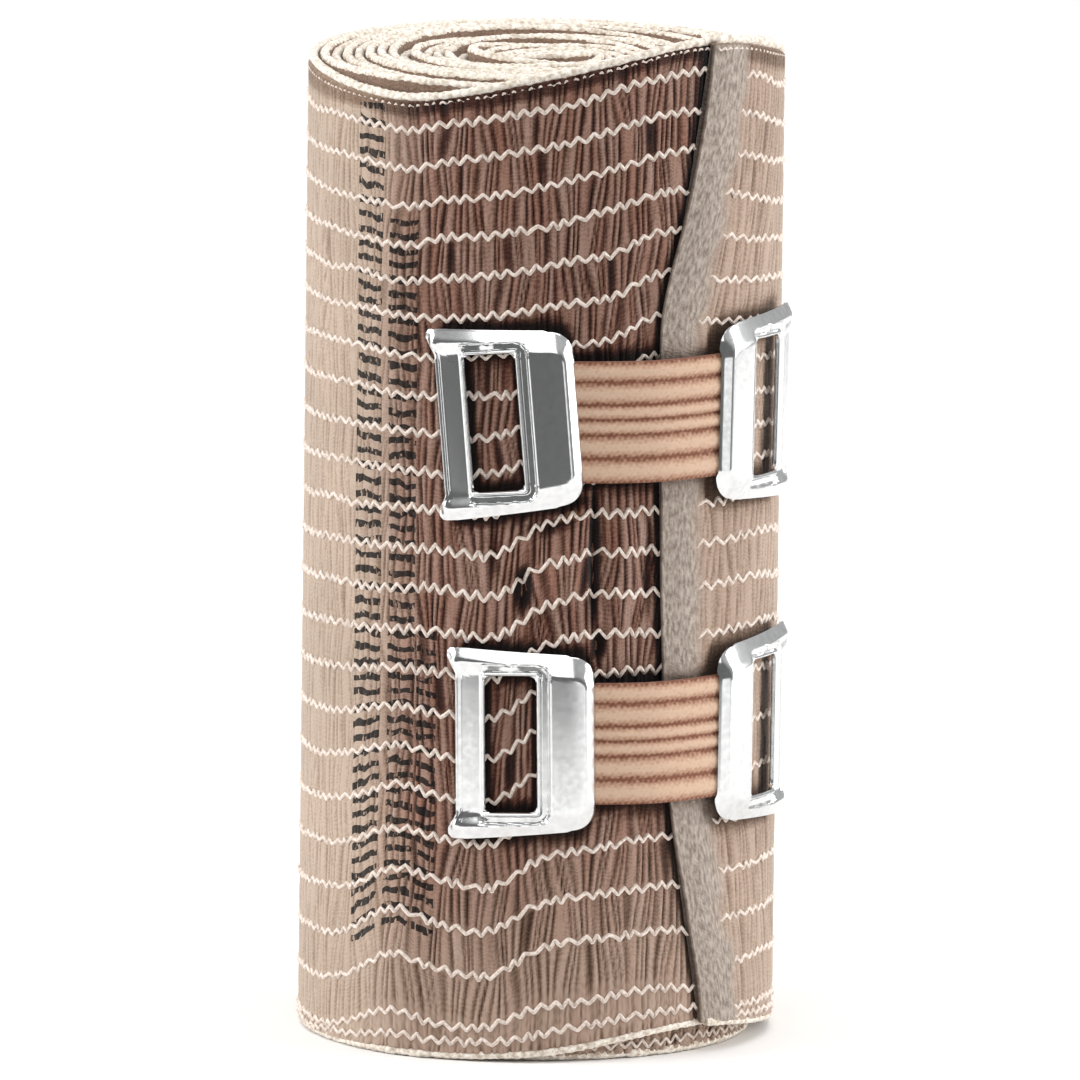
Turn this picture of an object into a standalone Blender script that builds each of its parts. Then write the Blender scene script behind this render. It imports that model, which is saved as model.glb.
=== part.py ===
"""Elastic crepe bandage, wound into a roll that stands on its end, with two stretch clips.

Metres, +Z up. The roll stands on z = 0, and the origin is under the middle of the whole object.
Front angles are in degrees from the front (-Y) towards the right (+X). The strip winds outwards
clockwise seen from above, so a back angle, counted along the strip from its free end towards the
core, grows the same way as the front angle does.
"""

import math
from collections import namedtuple

import bmesh
import bpy
from mathutils import Vector

MM = 0.001
TURN = 360.0
TOUCH = 0.01 * MM

# The strip, and the roll that it makes
BAND_WIDTH = 100.0 * MM
BAND_THICKNESS = 1.0 * MM
TURN_GAP = 0.15 * MM
ROLL_RADIUS = 24.575 * MM
CORE_RADIUS = 2.3 * MM
END_ANGLE = 46.0

# How the roll departs from a true spiral
CORNER_ANGLE = -38.0
CORNER_SPREAD = 20.0
CORNER_SHARE = 0.016
FLAT_ANGLE = 4.0
FLAT_SPREAD = 38.0
FLAT_SHARE = 0.022
EDGE_RIPPLE = 0.45 * MM
SKEW_RISE = 4.6 * MM
FOLD_RISE = 1.1 * MM
END_BOW = 15.0
END_BOW_FADE = 62.0

# How finely the strip is divided
COARSE_PER_TURN = 28
FINE_PER_COARSE = 2
FINE_COLUMNS = 58
ROWS = 10

# The clips
CLEARANCE = 0.3 * MM
SHEET = 0.4 * MM
PLATE_LENGTH = 14.0 * MM
HOOK_SIDE_HEIGHT = 19.6 * MM
WEB_SIDE_HEIGHT = 17.8 * MM
PLATE_CORNER = 2.4 * MM
PLATE_BEND_RADIUS = 40.0 * MM
BAR_LENGTH = 2.8 * MM
WINDOW_LENGTH = 5.3 * MM
WINDOW_HEIGHT = 14.0 * MM
LIP_WIDTH = 0.5 * MM
GROOVE_WIDTH = 0.6 * MM
STEP_WIDTH = 0.25 * MM
BAR_RISE = 0.15 * MM
GROOVE_RISE = 0.25 * MM
LIP_RISE = 0.8 * MM
LOW_CREST_RISE = 0.55 * MM
EAR_LENGTH = 0.9 * MM
PRONG_REACH = 0.5 * MM
WEB_HEIGHT = 12.4 * MM
WEB_THICKNESS = 1.0 * MM
WEB_VALLEY = 0.3 * MM
WEB_SECTIONS = 12

# Where the strip's edges rise as the last turn climbs towards its end: shares of SKEW_RISE
Skew = namedtuple("Skew", "back_angle top foot")
SKEWS = (
    Skew(-16.0, 1.0, 0.62),
    Skew(0.0, 1.0, 0.60),
    Skew(30.0, 0.55, 0.30),
    Skew(62.0, 0.0, 0.0),
    Skew(225.0, 0.0, 0.0),
    Skew(276.0, -0.26, 0.0),
    Skew(314.0, 0.32, 0.10),
    Skew(344.0, 0.82, 0.48),
    Skew(360.0, 0.94, 0.58),
    Skew(385.0, 0.70, 0.36),
    Skew(430.0, 0.10, 0.04),
    Skew(470.0, 0.0, 0.0),
)

# How far the free end is pulled round by the clips: shares of END_BOW, by share of the height
Bow = namedtuple("Bow", "height pull")
BOWS = (
    Bow(0.0, 0.0),
    Bow(0.12, 0.34),
    Bow(0.22, 0.68),
    Bow(0.42, 0.92),
    Bow(0.58, 0.96),
    Bow(0.74, 1.0),
    Bow(0.86, 0.56),
    Bow(1.0, 0.0),
)

# Folds of the last turn: a front angle, then shares of BAND_WIDTH, and a share of FOLD_RISE
Fold = namedtuple("Fold", "angle height half_girth half_height rise")
FOLDS = (
    Fold(-18.0, 1.02, 0.150, 0.125, 0.85),
    Fold(-38.0, 0.78, 0.050, 0.260, 0.45),
    Fold(-35.0, 0.12, 0.060, 0.150, 0.65),
    Fold(6.5, 0.495, 0.036, 0.060, 1.0),
    Fold(21.5, 0.495, 0.030, 0.088, 0.85),
    Fold(12.0, 0.14, 0.070, 0.110, 0.45),
    Fold(140.0, 0.55, 0.110, 0.300, 0.40),
    Fold(215.0, 0.35, 0.080, 0.260, 0.35),
)

Clip = namedtuple("Clip", "name height left_angle left_tilt right_angle right_tilt")
CLIPS = (
    Clip("upper", 0.66, -7.4, -5.1, 60.8, 1.5),
    Clip("lower", 0.33, -2.4, -1.0, 61.6, 0.6),
)

# Ribs of the elastic web, as shares of its height, from its foot up
WEB_RIBS = (0.20, 0.16, 0.11, 0.11, 0.15, 0.15, 0.12)

PITCH = BAND_THICKNESS + TURN_GAP
TURNS = (ROLL_RADIUS - BAND_THICKNESS - CORE_RADIUS) / PITCH
DOME_RISE = WEB_THICKNESS + CLEARANCE


def smooth(share):
    """A share from 0 to 1 with a soft start and stop."""
    share = min(max(share, 0.0), 1.0)
    return share * share * (3.0 - 2.0 * share)


def slope(rows, index, column):
    """How fast a column changes at a row: as its neighbours say, but nothing at a crest, dip or end."""
    if index in (0, len(rows) - 1):
        return 0.0
    before, here, after = rows[index - 1], rows[index], rows[index + 1]
    if (here[column] - before[column]) * (after[column] - here[column]) <= 0.0:
        return 0.0
    return (after[column] - before[column]) / (after[0] - before[0])


def between(rows, at, column):
    """The value of a column at a place along a table's first column, on a smooth curve."""
    if at <= rows[0][0]:
        return rows[0][column]
    for index in range(len(rows) - 1):
        low, high = rows[index], rows[index + 1]
        if at <= high[0]:
            run = high[0] - low[0]
            share = (at - low[0]) / run
            eased = smooth(share)
            start = slope(rows, index, column) * share * (1.0 - share) ** 2
            stop = slope(rows, index + 1, column) * share**2 * (share - 1.0)
            return low[column] * (1.0 - eased) + high[column] * eased + run * (start + stop)
    return rows[-1][column]


def turned_by(angle, other):
    """The angle from other to angle, from -180 to 180 degrees."""
    return (angle - other + 180.0) % TURN - 180.0


def roundness(angle):
    """What the radius is multiplied by, for the soft corner and the flatter front."""
    corner = turned_by(angle, CORNER_ANGLE) / CORNER_SPREAD
    flat = turned_by(angle, FLAT_ANGLE) / FLAT_SPREAD
    return 1.0 + CORNER_SHARE * math.exp(-corner * corner) - FLAT_SHARE * math.exp(-flat * flat)


def outer_radius(back_angle):
    """Radius of the strip's outer face, without folds."""
    return (ROLL_RADIUS - PITCH * back_angle / TURN) * roundness(END_ANGLE + back_angle)


def fold_rise(back_angle, height_share):
    """How far the last turn's folds lift it off the turn below."""
    rise = 0.0
    for fold in FOLDS:
        girth = math.radians(turned_by(END_ANGLE + back_angle, fold.angle)) * ROLL_RADIUS
        across = girth / (fold.half_girth * BAND_WIDTH)
        along = (height_share - fold.height) / fold.half_height
        away = math.hypot(across, along)
        if away < 1.0:
            rise += fold.rise * FOLD_RISE * 0.5 * (1.0 + math.cos(math.pi * away))
    return rise


def end_shift(back_angle, height_share):
    """Degrees by which the clips pull this point of the free end round."""
    fade = smooth((END_BOW_FADE - back_angle) / END_BOW_FADE)
    return -END_BOW * between(BOWS, height_share, 1) * fade


def edge_heights(back_angle):
    """Heights of the strip's foot and top edge."""
    winding = math.radians(back_angle)
    inner = smooth((back_angle - TURN) / TURN)
    ripple = math.sin(1.37 * winding + 0.8) * 0.6 + math.sin(0.43 * winding) * 0.4
    top = BAND_WIDTH + SKEW_RISE * between(SKEWS, back_angle, 1) + EDGE_RIPPLE * ripple * inner
    return SKEW_RISE * max(0.0, between(SKEWS, back_angle, 2)), top


def strip_point(back_angle, height_share, face_depth):
    """A point of the strip, face_depth inwards from its outer face."""
    foot, top = edge_heights(back_angle)
    shifted = back_angle + end_shift(back_angle, height_share)
    on_last_turn = back_angle < TURN
    rise = fold_rise(shifted, height_share) if on_last_turn else 0.0
    radius = outer_radius(shifted) + rise - face_depth
    angle = math.radians(END_ANGLE + shifted)
    height = foot + (top - foot) * height_share
    return Vector((radius * math.sin(angle), -radius * math.cos(angle), height))


def material(name, colour, roughness, metallic=0.0):
    """A Principled material."""
    made = bpy.data.materials.new(name)
    made.use_nodes = True
    shader = made.node_tree.nodes["Principled BSDF"]
    shader.inputs["Base Color"].default_value = (*colour, 1.0)
    shader.inputs["Roughness"].default_value = roughness
    shader.inputs["Metallic"].default_value = metallic
    return made


def face_outwards(mesh_data):
    """Turns every face of a closed mesh outwards."""
    bmesh.ops.recalc_face_normals(mesh_data, faces=mesh_data.faces)
    if mesh_data.calc_volume(signed=True) < 0.0:
        bmesh.ops.reverse_faces(mesh_data, faces=mesh_data.faces)


def add_object(name, mesh_data, surface, parent):
    """An object of the scene, smooth except at its sharp edges."""
    mesh = bpy.data.meshes.new(name)
    face_outwards(mesh_data)
    mesh_data.to_mesh(mesh)
    mesh_data.free()
    mesh.shade_smooth()
    mesh.set_sharp_from_angle(angle=math.radians(35.0))
    mesh.materials.append(surface)
    made = bpy.data.objects.new(name, mesh)
    made.parent = parent
    bpy.context.scene.collection.objects.link(made)
    return made


def strip_columns():
    """Back angle and number of rows of each column of the strip, from the free end to the core."""
    fine_step = TURN / COARSE_PER_TURN / FINE_PER_COARSE
    fine = [(index * fine_step, ROWS) for index in range(FINE_COLUMNS + 1)]
    first = FINE_COLUMNS // FINE_PER_COARSE + 1
    last = round(TURNS * COARSE_PER_TURN)
    coarse = [(index * TURN / COARSE_PER_TURN, 1) for index in range(first, last + 1)]
    return fine + coarse


def bandage(surface, parent):
    """The whole strip as one closed wall, lofted from its columns."""
    mesh_data = bmesh.new()
    columns = []
    for back_angle, rows in strip_columns():
        shares = [row / rows for row in range(rows + 1)]
        outside = [mesh_data.verts.new(strip_point(back_angle, share, 0.0)) for share in shares]
        inside = [
            mesh_data.verts.new(strip_point(back_angle, share, BAND_THICKNESS)) for share in shares
        ]
        columns.append((outside, inside))
    for (outside, inside), (next_outside, next_inside) in zip(columns, columns[1:]):
        if len(outside) == len(next_outside):
            for row in range(len(outside) - 1):
                mesh_data.faces.new(
                    (outside[row], next_outside[row], next_outside[row + 1], outside[row + 1])
                )
                mesh_data.faces.new(
                    (inside[row], inside[row + 1], next_inside[row + 1], next_inside[row])
                )
        else:
            mesh_data.faces.new((*reversed(outside), next_outside[0], next_outside[-1]))
            mesh_data.faces.new((*inside, next_inside[-1], next_inside[0]))
        mesh_data.faces.new((outside[0], inside[0], next_inside[0], next_outside[0]))
        mesh_data.faces.new((outside[-1], next_outside[-1], next_inside[-1], inside[-1]))
    for outside, inside in (columns[0], columns[-1]):
        for row in range(len(outside) - 1):
            mesh_data.faces.new((outside[row], outside[row + 1], inside[row + 1], inside[row]))
    return add_object("bandage", mesh_data, surface, parent)


def plate_half_height(along):
    """Half the plate's height at a distance from its hook edge, with the rounded web-side corners."""
    share = along / PLATE_LENGTH
    straight = (HOOK_SIDE_HEIGHT + (WEB_SIDE_HEIGHT - HOOK_SIDE_HEIGHT) * share) / 2.0
    into_corner = max(0.0, along - (PLATE_LENGTH - PLATE_CORNER))
    rounding = PLATE_CORNER - math.sqrt(max(0.0, PLATE_CORNER**2 - into_corner**2))
    return straight - rounding


def plate_stations():
    """Distances from the hook edge at which the plate's section changes, with a level name each."""
    window_end = BAR_LENGTH + WINDOW_LENGTH
    groove_end = window_end + LIP_WIDTH + GROOVE_WIDTH
    corner_start = PLATE_LENGTH - PLATE_CORNER
    return (
        (0.0, "bar"),
        (BAR_LENGTH / 2.0, "bar"),
        (BAR_LENGTH, "bar"),
        (window_end, "lip"),
        (window_end + LIP_WIDTH, "groove"),
        (groove_end, "groove"),
        (groove_end + STEP_WIDTH, "dome"),
        (corner_start, "dome"),
        (corner_start + PLATE_CORNER * 0.6, "dome"),
        (PLATE_LENGTH - PLATE_CORNER * 0.08, "dome"),
    )


def plate_section(along, level):
    """Places up the plate and heights of its outer side, from the middle to the upper edge."""
    rises = {"bar": BAR_RISE, "lip": LIP_RISE, "groove": GROOVE_RISE, "dome": DOME_RISE}
    half = plate_half_height(along)
    window = WINDOW_HEIGHT / 2.0
    groove_end = window + LIP_WIDTH + GROOVE_WIDTH
    crest_share = smooth(along / (PLATE_LENGTH - PLATE_CORNER))
    crest = LOW_CREST_RISE + (DOME_RISE - LOW_CREST_RISE) * crest_share
    places = [0.0, window / 2.0, window, window + LIP_WIDTH, groove_end, groove_end + STEP_WIDTH]
    squeeze = min(1.0, (half - STEP_WIDTH) / places[-1])
    heights = [rises[level]] * 5 + [crest]
    beside_window = BAR_LENGTH <= along <= BAR_LENGTH + WINDOW_LENGTH
    if beside_window:
        heights[2:5] = [LIP_RISE, GROOVE_RISE, GROOVE_RISE]
    return [place * squeeze for place in places] + [half], heights + [0.0]


def bend(point):
    """Bends a flat plate's point to the plate's own gentle curve; -Y is outwards."""
    radius = PLATE_BEND_RADIUS - point.y
    angle = point.x / PLATE_BEND_RADIUS
    return Vector((radius * math.sin(angle), PLATE_BEND_RADIUS - radius * math.cos(angle), point.z))


def plate_mesh(hook_side):
    """The pressed sheet plate round its window; hook_side is -1 if its hooks are on the left."""
    mesh_data = bmesh.new()
    stations = plate_stations()
    grid = []
    for along, level in stations:
        places, heights = plate_section(along, level)
        places = [-place for place in reversed(places[1:])] + places
        heights = list(reversed(heights[1:])) + heights
        across = along - PLATE_LENGTH / 2.0
        over = [Vector((across, -(SHEET + rise), up)) for up, rise in zip(places, heights)]
        under = [Vector((across, -rise, up)) for up, rise in zip(places, heights)]
        grid.append(
            ([mesh_data.verts.new(p) for p in over], [mesh_data.verts.new(p) for p in under])
        )
    rows = len(grid[0][0])
    window_rows = range(rows // 2 - 2, rows // 2 + 2)
    window_station = [level for _, level in stations].index("lip") - 1
    for station, (near, far) in enumerate(zip(grid, grid[1:])):
        for row in range(rows - 1):
            if station == window_station and row in window_rows:
                continue
            mesh_data.faces.new((near[0][row], far[0][row], far[0][row + 1], near[0][row + 1]))
            mesh_data.faces.new((near[1][row], near[1][row + 1], far[1][row + 1], far[1][row]))
    close_open_rims(mesh_data)
    add_prongs(mesh_data)
    for vertex in mesh_data.verts:
        flat = vertex.co.copy()
        flat.x *= -hook_side
        vertex.co = bend(flat)
    return mesh_data


def close_open_rims(mesh_data):
    """Joins the two sides of a sheet along its outline and its window."""
    mesh_data.edges.ensure_lookup_table()
    open_edges = [edge for edge in mesh_data.edges if edge.is_boundary]
    bmesh.ops.bridge_loops(mesh_data, edges=[e for e in open_edges if on_outline(e)])
    bmesh.ops.bridge_loops(mesh_data, edges=[e for e in open_edges if not on_outline(e)])


def on_outline(edge):
    """True for an edge of the plate's outline, false for one of its window."""
    window_end = BAR_LENGTH + WINDOW_LENGTH - PLATE_LENGTH / 2.0
    inside = all(
        BAR_LENGTH - PLATE_LENGTH / 2.0 - TOUCH < v.co.x < window_end + TOUCH
        and abs(v.co.z) < WINDOW_HEIGHT / 2.0 + TOUCH
        for v in edge.verts
    )
    return not inside


def add_prongs(mesh_data):
    """Draws the two hook-side corners out into ears and turns their tips down to the fabric."""
    hook_edge = -PLATE_LENGTH / 2.0
    for side in (-1.0, 1.0):
        mesh_data.faces.ensure_lookup_table()
        mesh_data.normal_update()
        roots = [
            face
            for face in mesh_data.faces
            if all(abs(v.co.x - hook_edge) < TOUCH for v in face.verts)
            and side * face.calc_center_median().z > WINDOW_HEIGHT / 2.0 + LIP_WIDTH
        ]
        ear = bmesh.ops.extrude_face_region(mesh_data, geom=roots)
        bmesh.ops.delete(mesh_data, geom=roots, context="FACES_ONLY")
        drawn = [item for item in ear["geom"] if isinstance(item, bmesh.types.BMVert)]
        for vertex in drawn:
            vertex.co.x -= EAR_LENGTH
        tips = [
            face
            for face in mesh_data.faces
            if face.calc_center_median().x < hook_edge - EAR_LENGTH / 4.0
            and face.calc_center_median().z * side > 0.0
            and all(vertex in drawn or abs(vertex.co.x - hook_edge) < TOUCH for vertex in face.verts)
            and is_underside(face)
        ]
        prong = bmesh.ops.extrude_face_region(mesh_data, geom=tips)
        bmesh.ops.delete(mesh_data, geom=tips, context="FACES_ONLY")
        for vertex in (item for item in prong["geom"] if isinstance(item, bmesh.types.BMVert)):
            vertex.co.y += PRONG_REACH
            middle = side * (WINDOW_HEIGHT / 2.0 + HOOK_SIDE_HEIGHT / 2.0) / 2.0
            vertex.co.z += (middle - vertex.co.z) * 0.5
            vertex.co.x += (hook_edge - EAR_LENGTH * 0.8 - vertex.co.x) * 0.5


def is_underside(face):
    """True for a face of the ear that lies towards the fabric."""
    return max(vertex.co.y for vertex in face.verts) > -SHEET and face.normal.y > 0.5


def plate(name, hook_side, angle, height, tilt, surface, parent):
    """A plate set on the outside of the roll at a front angle and height."""
    made = add_object(name, plate_mesh(hook_side), surface, parent)
    radius = outer_radius((angle - END_ANGLE) % TURN) + CLEARANCE
    turned = math.radians(angle)
    made.location = (radius * math.sin(turned), -radius * math.cos(turned), height)
    made.rotation_euler = (0.0, math.radians(tilt), turned)
    return made


def web_profile():
    """Places up the web and depths below its crest line, over its ribs, from its foot up."""
    points = []
    foot = -WEB_HEIGHT / 2.0
    for share in WEB_RIBS:
        rib = share * WEB_HEIGHT
        points.append((foot, WEB_VALLEY))
        points.append((foot + rib * 0.3, 0.0))
        points.append((foot + rib * 0.7, 0.0))
        foot += rib
    points.append((WEB_HEIGHT / 2.0, WEB_VALLEY))
    return points


def web_radius(angle, left_angle):
    """Radius of the web's inner side: it lies on the roll, then climbs over the free end."""
    low = outer_radius((left_angle - END_ANGLE) % TURN)
    high = outer_radius(0.0)
    climb_end = END_ANGLE - END_BOW
    climb_start = left_angle + (climb_end - left_angle) * 0.35
    climbed = smooth((angle - climb_start) / (climb_end - climb_start))
    beyond = max(outer_radius(angle - END_ANGLE), high) if angle > climb_end else high
    return low + (max(high, beyond) - low) * climbed + CLEARANCE


def tuck_angle(tilt):
    """Degrees from a plate's middle to the end of the web that is tucked under its dome."""
    dome_length = PLATE_LENGTH - BAR_LENGTH - WINDOW_LENGTH - LIP_WIDTH - GROOVE_WIDTH - STEP_WIDTH
    slant = math.sin(math.radians(abs(tilt))) * WEB_HEIGHT / 2.0
    return math.degrees((PLATE_LENGTH / 2.0 - dome_length + slant + CLEARANCE) / ROLL_RADIUS)


def web(name, clip, surface, parent):
    """The ribbed elastic, tucked under the domes of both plates."""
    first = clip.left_angle + tuck_angle(clip.left_tilt)
    last = clip.right_angle - tuck_angle(clip.right_tilt)
    profile = web_profile()
    mesh_data = bmesh.new()
    rings = []
    for section in range(WEB_SECTIONS + 1):
        angle = first + (last - first) * section / WEB_SECTIONS
        inner = web_radius(angle, clip.left_angle)
        ring = [(inner, -WEB_HEIGHT / 2.0), (inner, WEB_HEIGHT / 2.0)]
        ring += [(inner + WEB_THICKNESS - depth, up) for up, depth in reversed(profile)]
        turned = math.radians(angle)
        rings.append(
            [
                mesh_data.verts.new((r * math.sin(turned), -r * math.cos(turned), up))
                for r, up in ring
            ]
        )
    for near, far in zip(rings, rings[1:]):
        for index in range(len(near)):
            after = (index + 1) % len(near)
            mesh_data.faces.new((near[index], near[after], far[after], far[index]))
    mesh_data.faces.new(rings[0])
    mesh_data.faces.new(list(reversed(rings[-1])))
    made = add_object(name, mesh_data, surface, parent)
    made.location.z = clip.height * BAND_WIDTH
    return made


def stand_over_origin(parent, objects):
    """Moves the assembly so that the origin is under the middle of its box."""
    bpy.context.view_layer.update()
    corners = [o.matrix_world @ v.co for o in objects for v in o.data.vertices]
    for axis in (0, 1):
        values = [corner[axis] for corner in corners]
        parent.location[axis] = -(min(values) + max(values)) / 2.0
    bpy.context.view_layer.update()


def main():
    for old in list(bpy.data.objects):
        bpy.data.objects.remove(old)
    axis = bpy.data.objects.new("roll_axis", None)
    bpy.context.scene.collection.objects.link(axis)
    crepe = material("skin_coloured_crepe", (0.36, 0.20, 0.15), 0.9)
    metal = material("pressed_aluminium", (0.80, 0.81, 0.82), 0.3, 1.0)
    elastic = material("ribbed_elastic", (0.60, 0.33, 0.20), 0.85)
    objects = [bandage(crepe, axis)]
    for clip in CLIPS:
        height = clip.height * BAND_WIDTH
        name = f"clip_{clip.name}"
        left = plate(f"{name}_plate_left", -1, clip.left_angle, height, clip.left_tilt, metal, axis)
        right = plate(f"{name}_plate_right", 1, clip.right_angle, height, clip.right_tilt, metal, axis)
        objects += [left, right, web(f"{name}_web", clip, elastic, axis)]
    stand_over_origin(axis, objects)


main()
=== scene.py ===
"""Dresses the wound elastic crepe bandage and its two stretch clips.

Metres, +Z up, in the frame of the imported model. Front angles are in degrees from the front (-Y)
towards the right (+X). A back angle is counted along the strip from its free end towards the core.
Weave heights are places up the cloth as it was woven, as shares of its width.
"""

from __future__ import annotations

import logging
import math
from contextlib import contextmanager
from dataclasses import dataclass, field
from enum import Enum
from typing import Iterator, NamedTuple, Sequence

import bpy
import numpy as np
from mathutils import Matrix, Vector

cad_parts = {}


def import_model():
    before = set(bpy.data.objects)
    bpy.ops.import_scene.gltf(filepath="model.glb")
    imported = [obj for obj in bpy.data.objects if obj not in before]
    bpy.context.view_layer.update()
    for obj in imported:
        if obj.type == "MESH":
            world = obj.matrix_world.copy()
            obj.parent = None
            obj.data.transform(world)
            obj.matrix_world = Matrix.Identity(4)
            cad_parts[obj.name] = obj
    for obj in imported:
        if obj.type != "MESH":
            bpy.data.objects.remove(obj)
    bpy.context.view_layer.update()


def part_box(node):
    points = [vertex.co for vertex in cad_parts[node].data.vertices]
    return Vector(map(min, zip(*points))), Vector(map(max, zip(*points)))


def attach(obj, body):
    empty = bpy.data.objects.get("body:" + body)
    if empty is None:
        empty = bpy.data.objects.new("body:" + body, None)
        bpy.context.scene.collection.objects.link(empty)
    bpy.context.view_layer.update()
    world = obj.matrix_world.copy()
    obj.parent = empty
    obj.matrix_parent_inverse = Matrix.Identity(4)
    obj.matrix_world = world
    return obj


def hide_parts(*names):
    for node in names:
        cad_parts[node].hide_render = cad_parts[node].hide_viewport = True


MM = 0.001
TURN = 360.0
SEED = 20
IMAGE_SIDE = 1080

log = logging.getLogger("bandage")


class Skew(NamedTuple):
    """Shares of the skew rise by which the strip's edges climb."""

    back_angle: float
    top: float
    foot: float


SKEWS = (
    Skew(-16.0, 1.0, 0.62),
    Skew(0.0, 1.0, 0.60),
    Skew(30.0, 0.55, 0.30),
    Skew(62.0, 0.0, 0.0),
    Skew(225.0, 0.0, 0.0),
    Skew(276.0, -0.26, 0.0),
    Skew(314.0, 0.32, 0.10),
    Skew(344.0, 0.82, 0.48),
    Skew(360.0, 0.94, 0.58),
    Skew(385.0, 0.70, 0.36),
    Skew(430.0, 0.10, 0.04),
    Skew(470.0, 0.0, 0.0),
)


class Climb(NamedTuple):
    """Shares of the skew rise by which the stripes climb, at five heights of the weave."""

    back_angle: float
    crown: float
    shoulder: float
    waist: float
    hip: float
    low: float


CLIMBS = (
    Climb(0.0, 0.95, 0.90, 1.27, 0.88, 0.60),
    Climb(15.0, 0.80, 0.70, 1.31, 0.78, 0.54),
    Climb(30.0, 0.46, 0.52, 1.27, 0.78, 0.60),
    Climb(62.0, 0.05, 0.12, 0.70, 0.45, 0.30),
    Climb(110.0, 0.0, 0.0, 0.0, 0.0, 0.0),
    Climb(200.0, 0.0, 0.0, 0.0, 0.0, 0.0),
    Climb(248.0, -0.18, 0.0, 0.15, 0.04, 0.0),
    Climb(262.0, -0.18, 0.06, 0.22, 0.20, 0.20),
    Climb(280.0, -0.25, 0.0, 0.29, 0.71, 0.91),
    Climb(288.0, -0.06, -0.03, 0.30, 0.56, 0.67),
    Climb(301.0, 0.12, 0.06, 0.21, 0.43, 0.49),
    Climb(316.0, 0.38, 0.28, 0.97, 1.21, 1.16),
    Climb(331.0, 0.70, 0.45, 1.21, 1.45, 1.37),
    Climb(342.0, 0.94, 0.88, 1.19, 1.65, 1.46),
    Climb(352.0, 1.05, 0.98, 1.19, 1.62, 1.40),
    Climb(385.0, 0.80, 0.80, 0.90, 1.00, 0.90),
)


class Bow(NamedTuple):
    """Share of the end's bow by which the clips pull the free end round, by share of the height."""

    height: float
    pull: float


BOWS = (
    Bow(0.0, 0.0),
    Bow(0.12, 0.34),
    Bow(0.22, 0.68),
    Bow(0.42, 0.92),
    Bow(0.58, 0.96),
    Bow(0.70, 1.0),
    Bow(0.84, 0.46),
    Bow(0.92, 0.16),
    Bow(1.0, 0.0),
)


class Fold(NamedTuple):
    """A bulge of the last turn: a front angle, shares of the width, and a share of the fold rise."""

    angle: float
    height: float
    half_girth: float
    half_height: float
    rise: float


FOLDS = (
    Fold(-18.0, 1.02, 0.150, 0.125, 0.85),
    Fold(-38.0, 0.78, 0.050, 0.260, 0.45),
    Fold(-35.0, 0.12, 0.060, 0.150, 0.65),
    Fold(6.5, 0.495, 0.036, 0.060, 1.0),
    Fold(21.5, 0.495, 0.030, 0.088, 0.85),
    Fold(12.0, 0.14, 0.070, 0.110, 0.45),
    Fold(140.0, 0.55, 0.110, 0.300, 0.40),
    Fold(215.0, 0.35, 0.080, 0.260, 0.35),
)

# Sharp dents and a small leaf-shaped crease between the clips, which only the cloth's face shows; their
# depth also paints shade into the cloth's colour
CREASES = (
    Fold(14.5, 0.500, 0.009, 0.105, -1.0),
    Fold(16.0, 0.410, 0.012, 0.022, -0.95),
    Fold(-3.6, 0.480, 0.015, 0.034, -0.95),
    Fold(3.0, 0.540, 0.050, 0.009, -0.40),
    Fold(9.5, 0.560, 0.030, 0.010, -0.35),
    Fold(-11.0, 0.520, 0.012, 0.050, -0.30),
    Fold(29.0, 0.470, 0.009, 0.070, -0.35),
)


class Clip(NamedTuple):
    """Where a clip sits: its height as a share of the width, and each plate's angle and tilt."""

    name: str
    height: float
    left_angle: float
    left_tilt: float
    right_angle: float
    right_tilt: float

    def plate(self, side: HookSide) -> tuple[float, float]:
        """The front angle and the tilt of one of its plates, in degrees."""
        if side is HookSide.LEFT:
            return self.left_angle, self.left_tilt
        return self.right_angle, self.right_tilt


CLIPS = (
    Clip("upper", 0.66, -7.4, -5.1, 60.8, 1.5),
    Clip("lower", 0.33, -2.4, -1.0, 61.6, 0.6),
)


class HookSide(Enum):
    """The side of a plate that carries its hooks."""

    LEFT = -1
    RIGHT = 1


def smooth(share: np.ndarray | float) -> np.ndarray:
    """Shares from 0 to 1 with a soft start and stop."""
    share = np.clip(share, 0.0, 1.0)
    return share * share * (3.0 - 2.0 * share)


def wander(at: np.ndarray, wavelength: float, seed: int) -> np.ndarray:
    """A smooth irregular wave.

    Args:
        at: Places along the wave.
        wavelength: The usual distance between two crests, in the unit of the places.
        seed: Picks one of the possible waves.

    Returns:
        Values that mostly lie between -1 and 1.
    """
    draws = np.random.default_rng(seed)
    total = np.zeros_like(at, dtype=float)
    for _ in range(4):
        length = wavelength * draws.uniform(0.6, 1.7)
        total += np.sin(at * (2.0 * math.pi / length) + draws.uniform(0.0, 2.0 * math.pi))
    return total / 2.2


class Sway(NamedTuple):
    """An irregular wave: how high it usually is, and how far apart its crests usually lie."""

    height: float
    length: float

    def at(self, places: np.ndarray, seed: int) -> np.ndarray:
        """The wave's heights at places along it."""
        return self.height * wander(places, self.length, seed)


def scatter(index: np.ndarray, seed: float) -> np.ndarray:
    """An even share from 0 to 1 that looks drawn at random for each whole number."""
    mixed = np.sin(index * 12.9898 + seed * 78.233) * 43758.5453
    return mixed - np.floor(mixed)


def within_half_turn(angle: np.ndarray | float) -> np.ndarray | float:
    """The same angles in degrees, counted from -180 to 180."""
    return (angle + TURN / 2.0) % TURN - TURN / 2.0


def bell(away: np.ndarray | float) -> np.ndarray | float:
    """The height of a soft bump, 1 in its middle, at distances counted in widths of the bump."""
    return np.exp(-(away * away))


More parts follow.
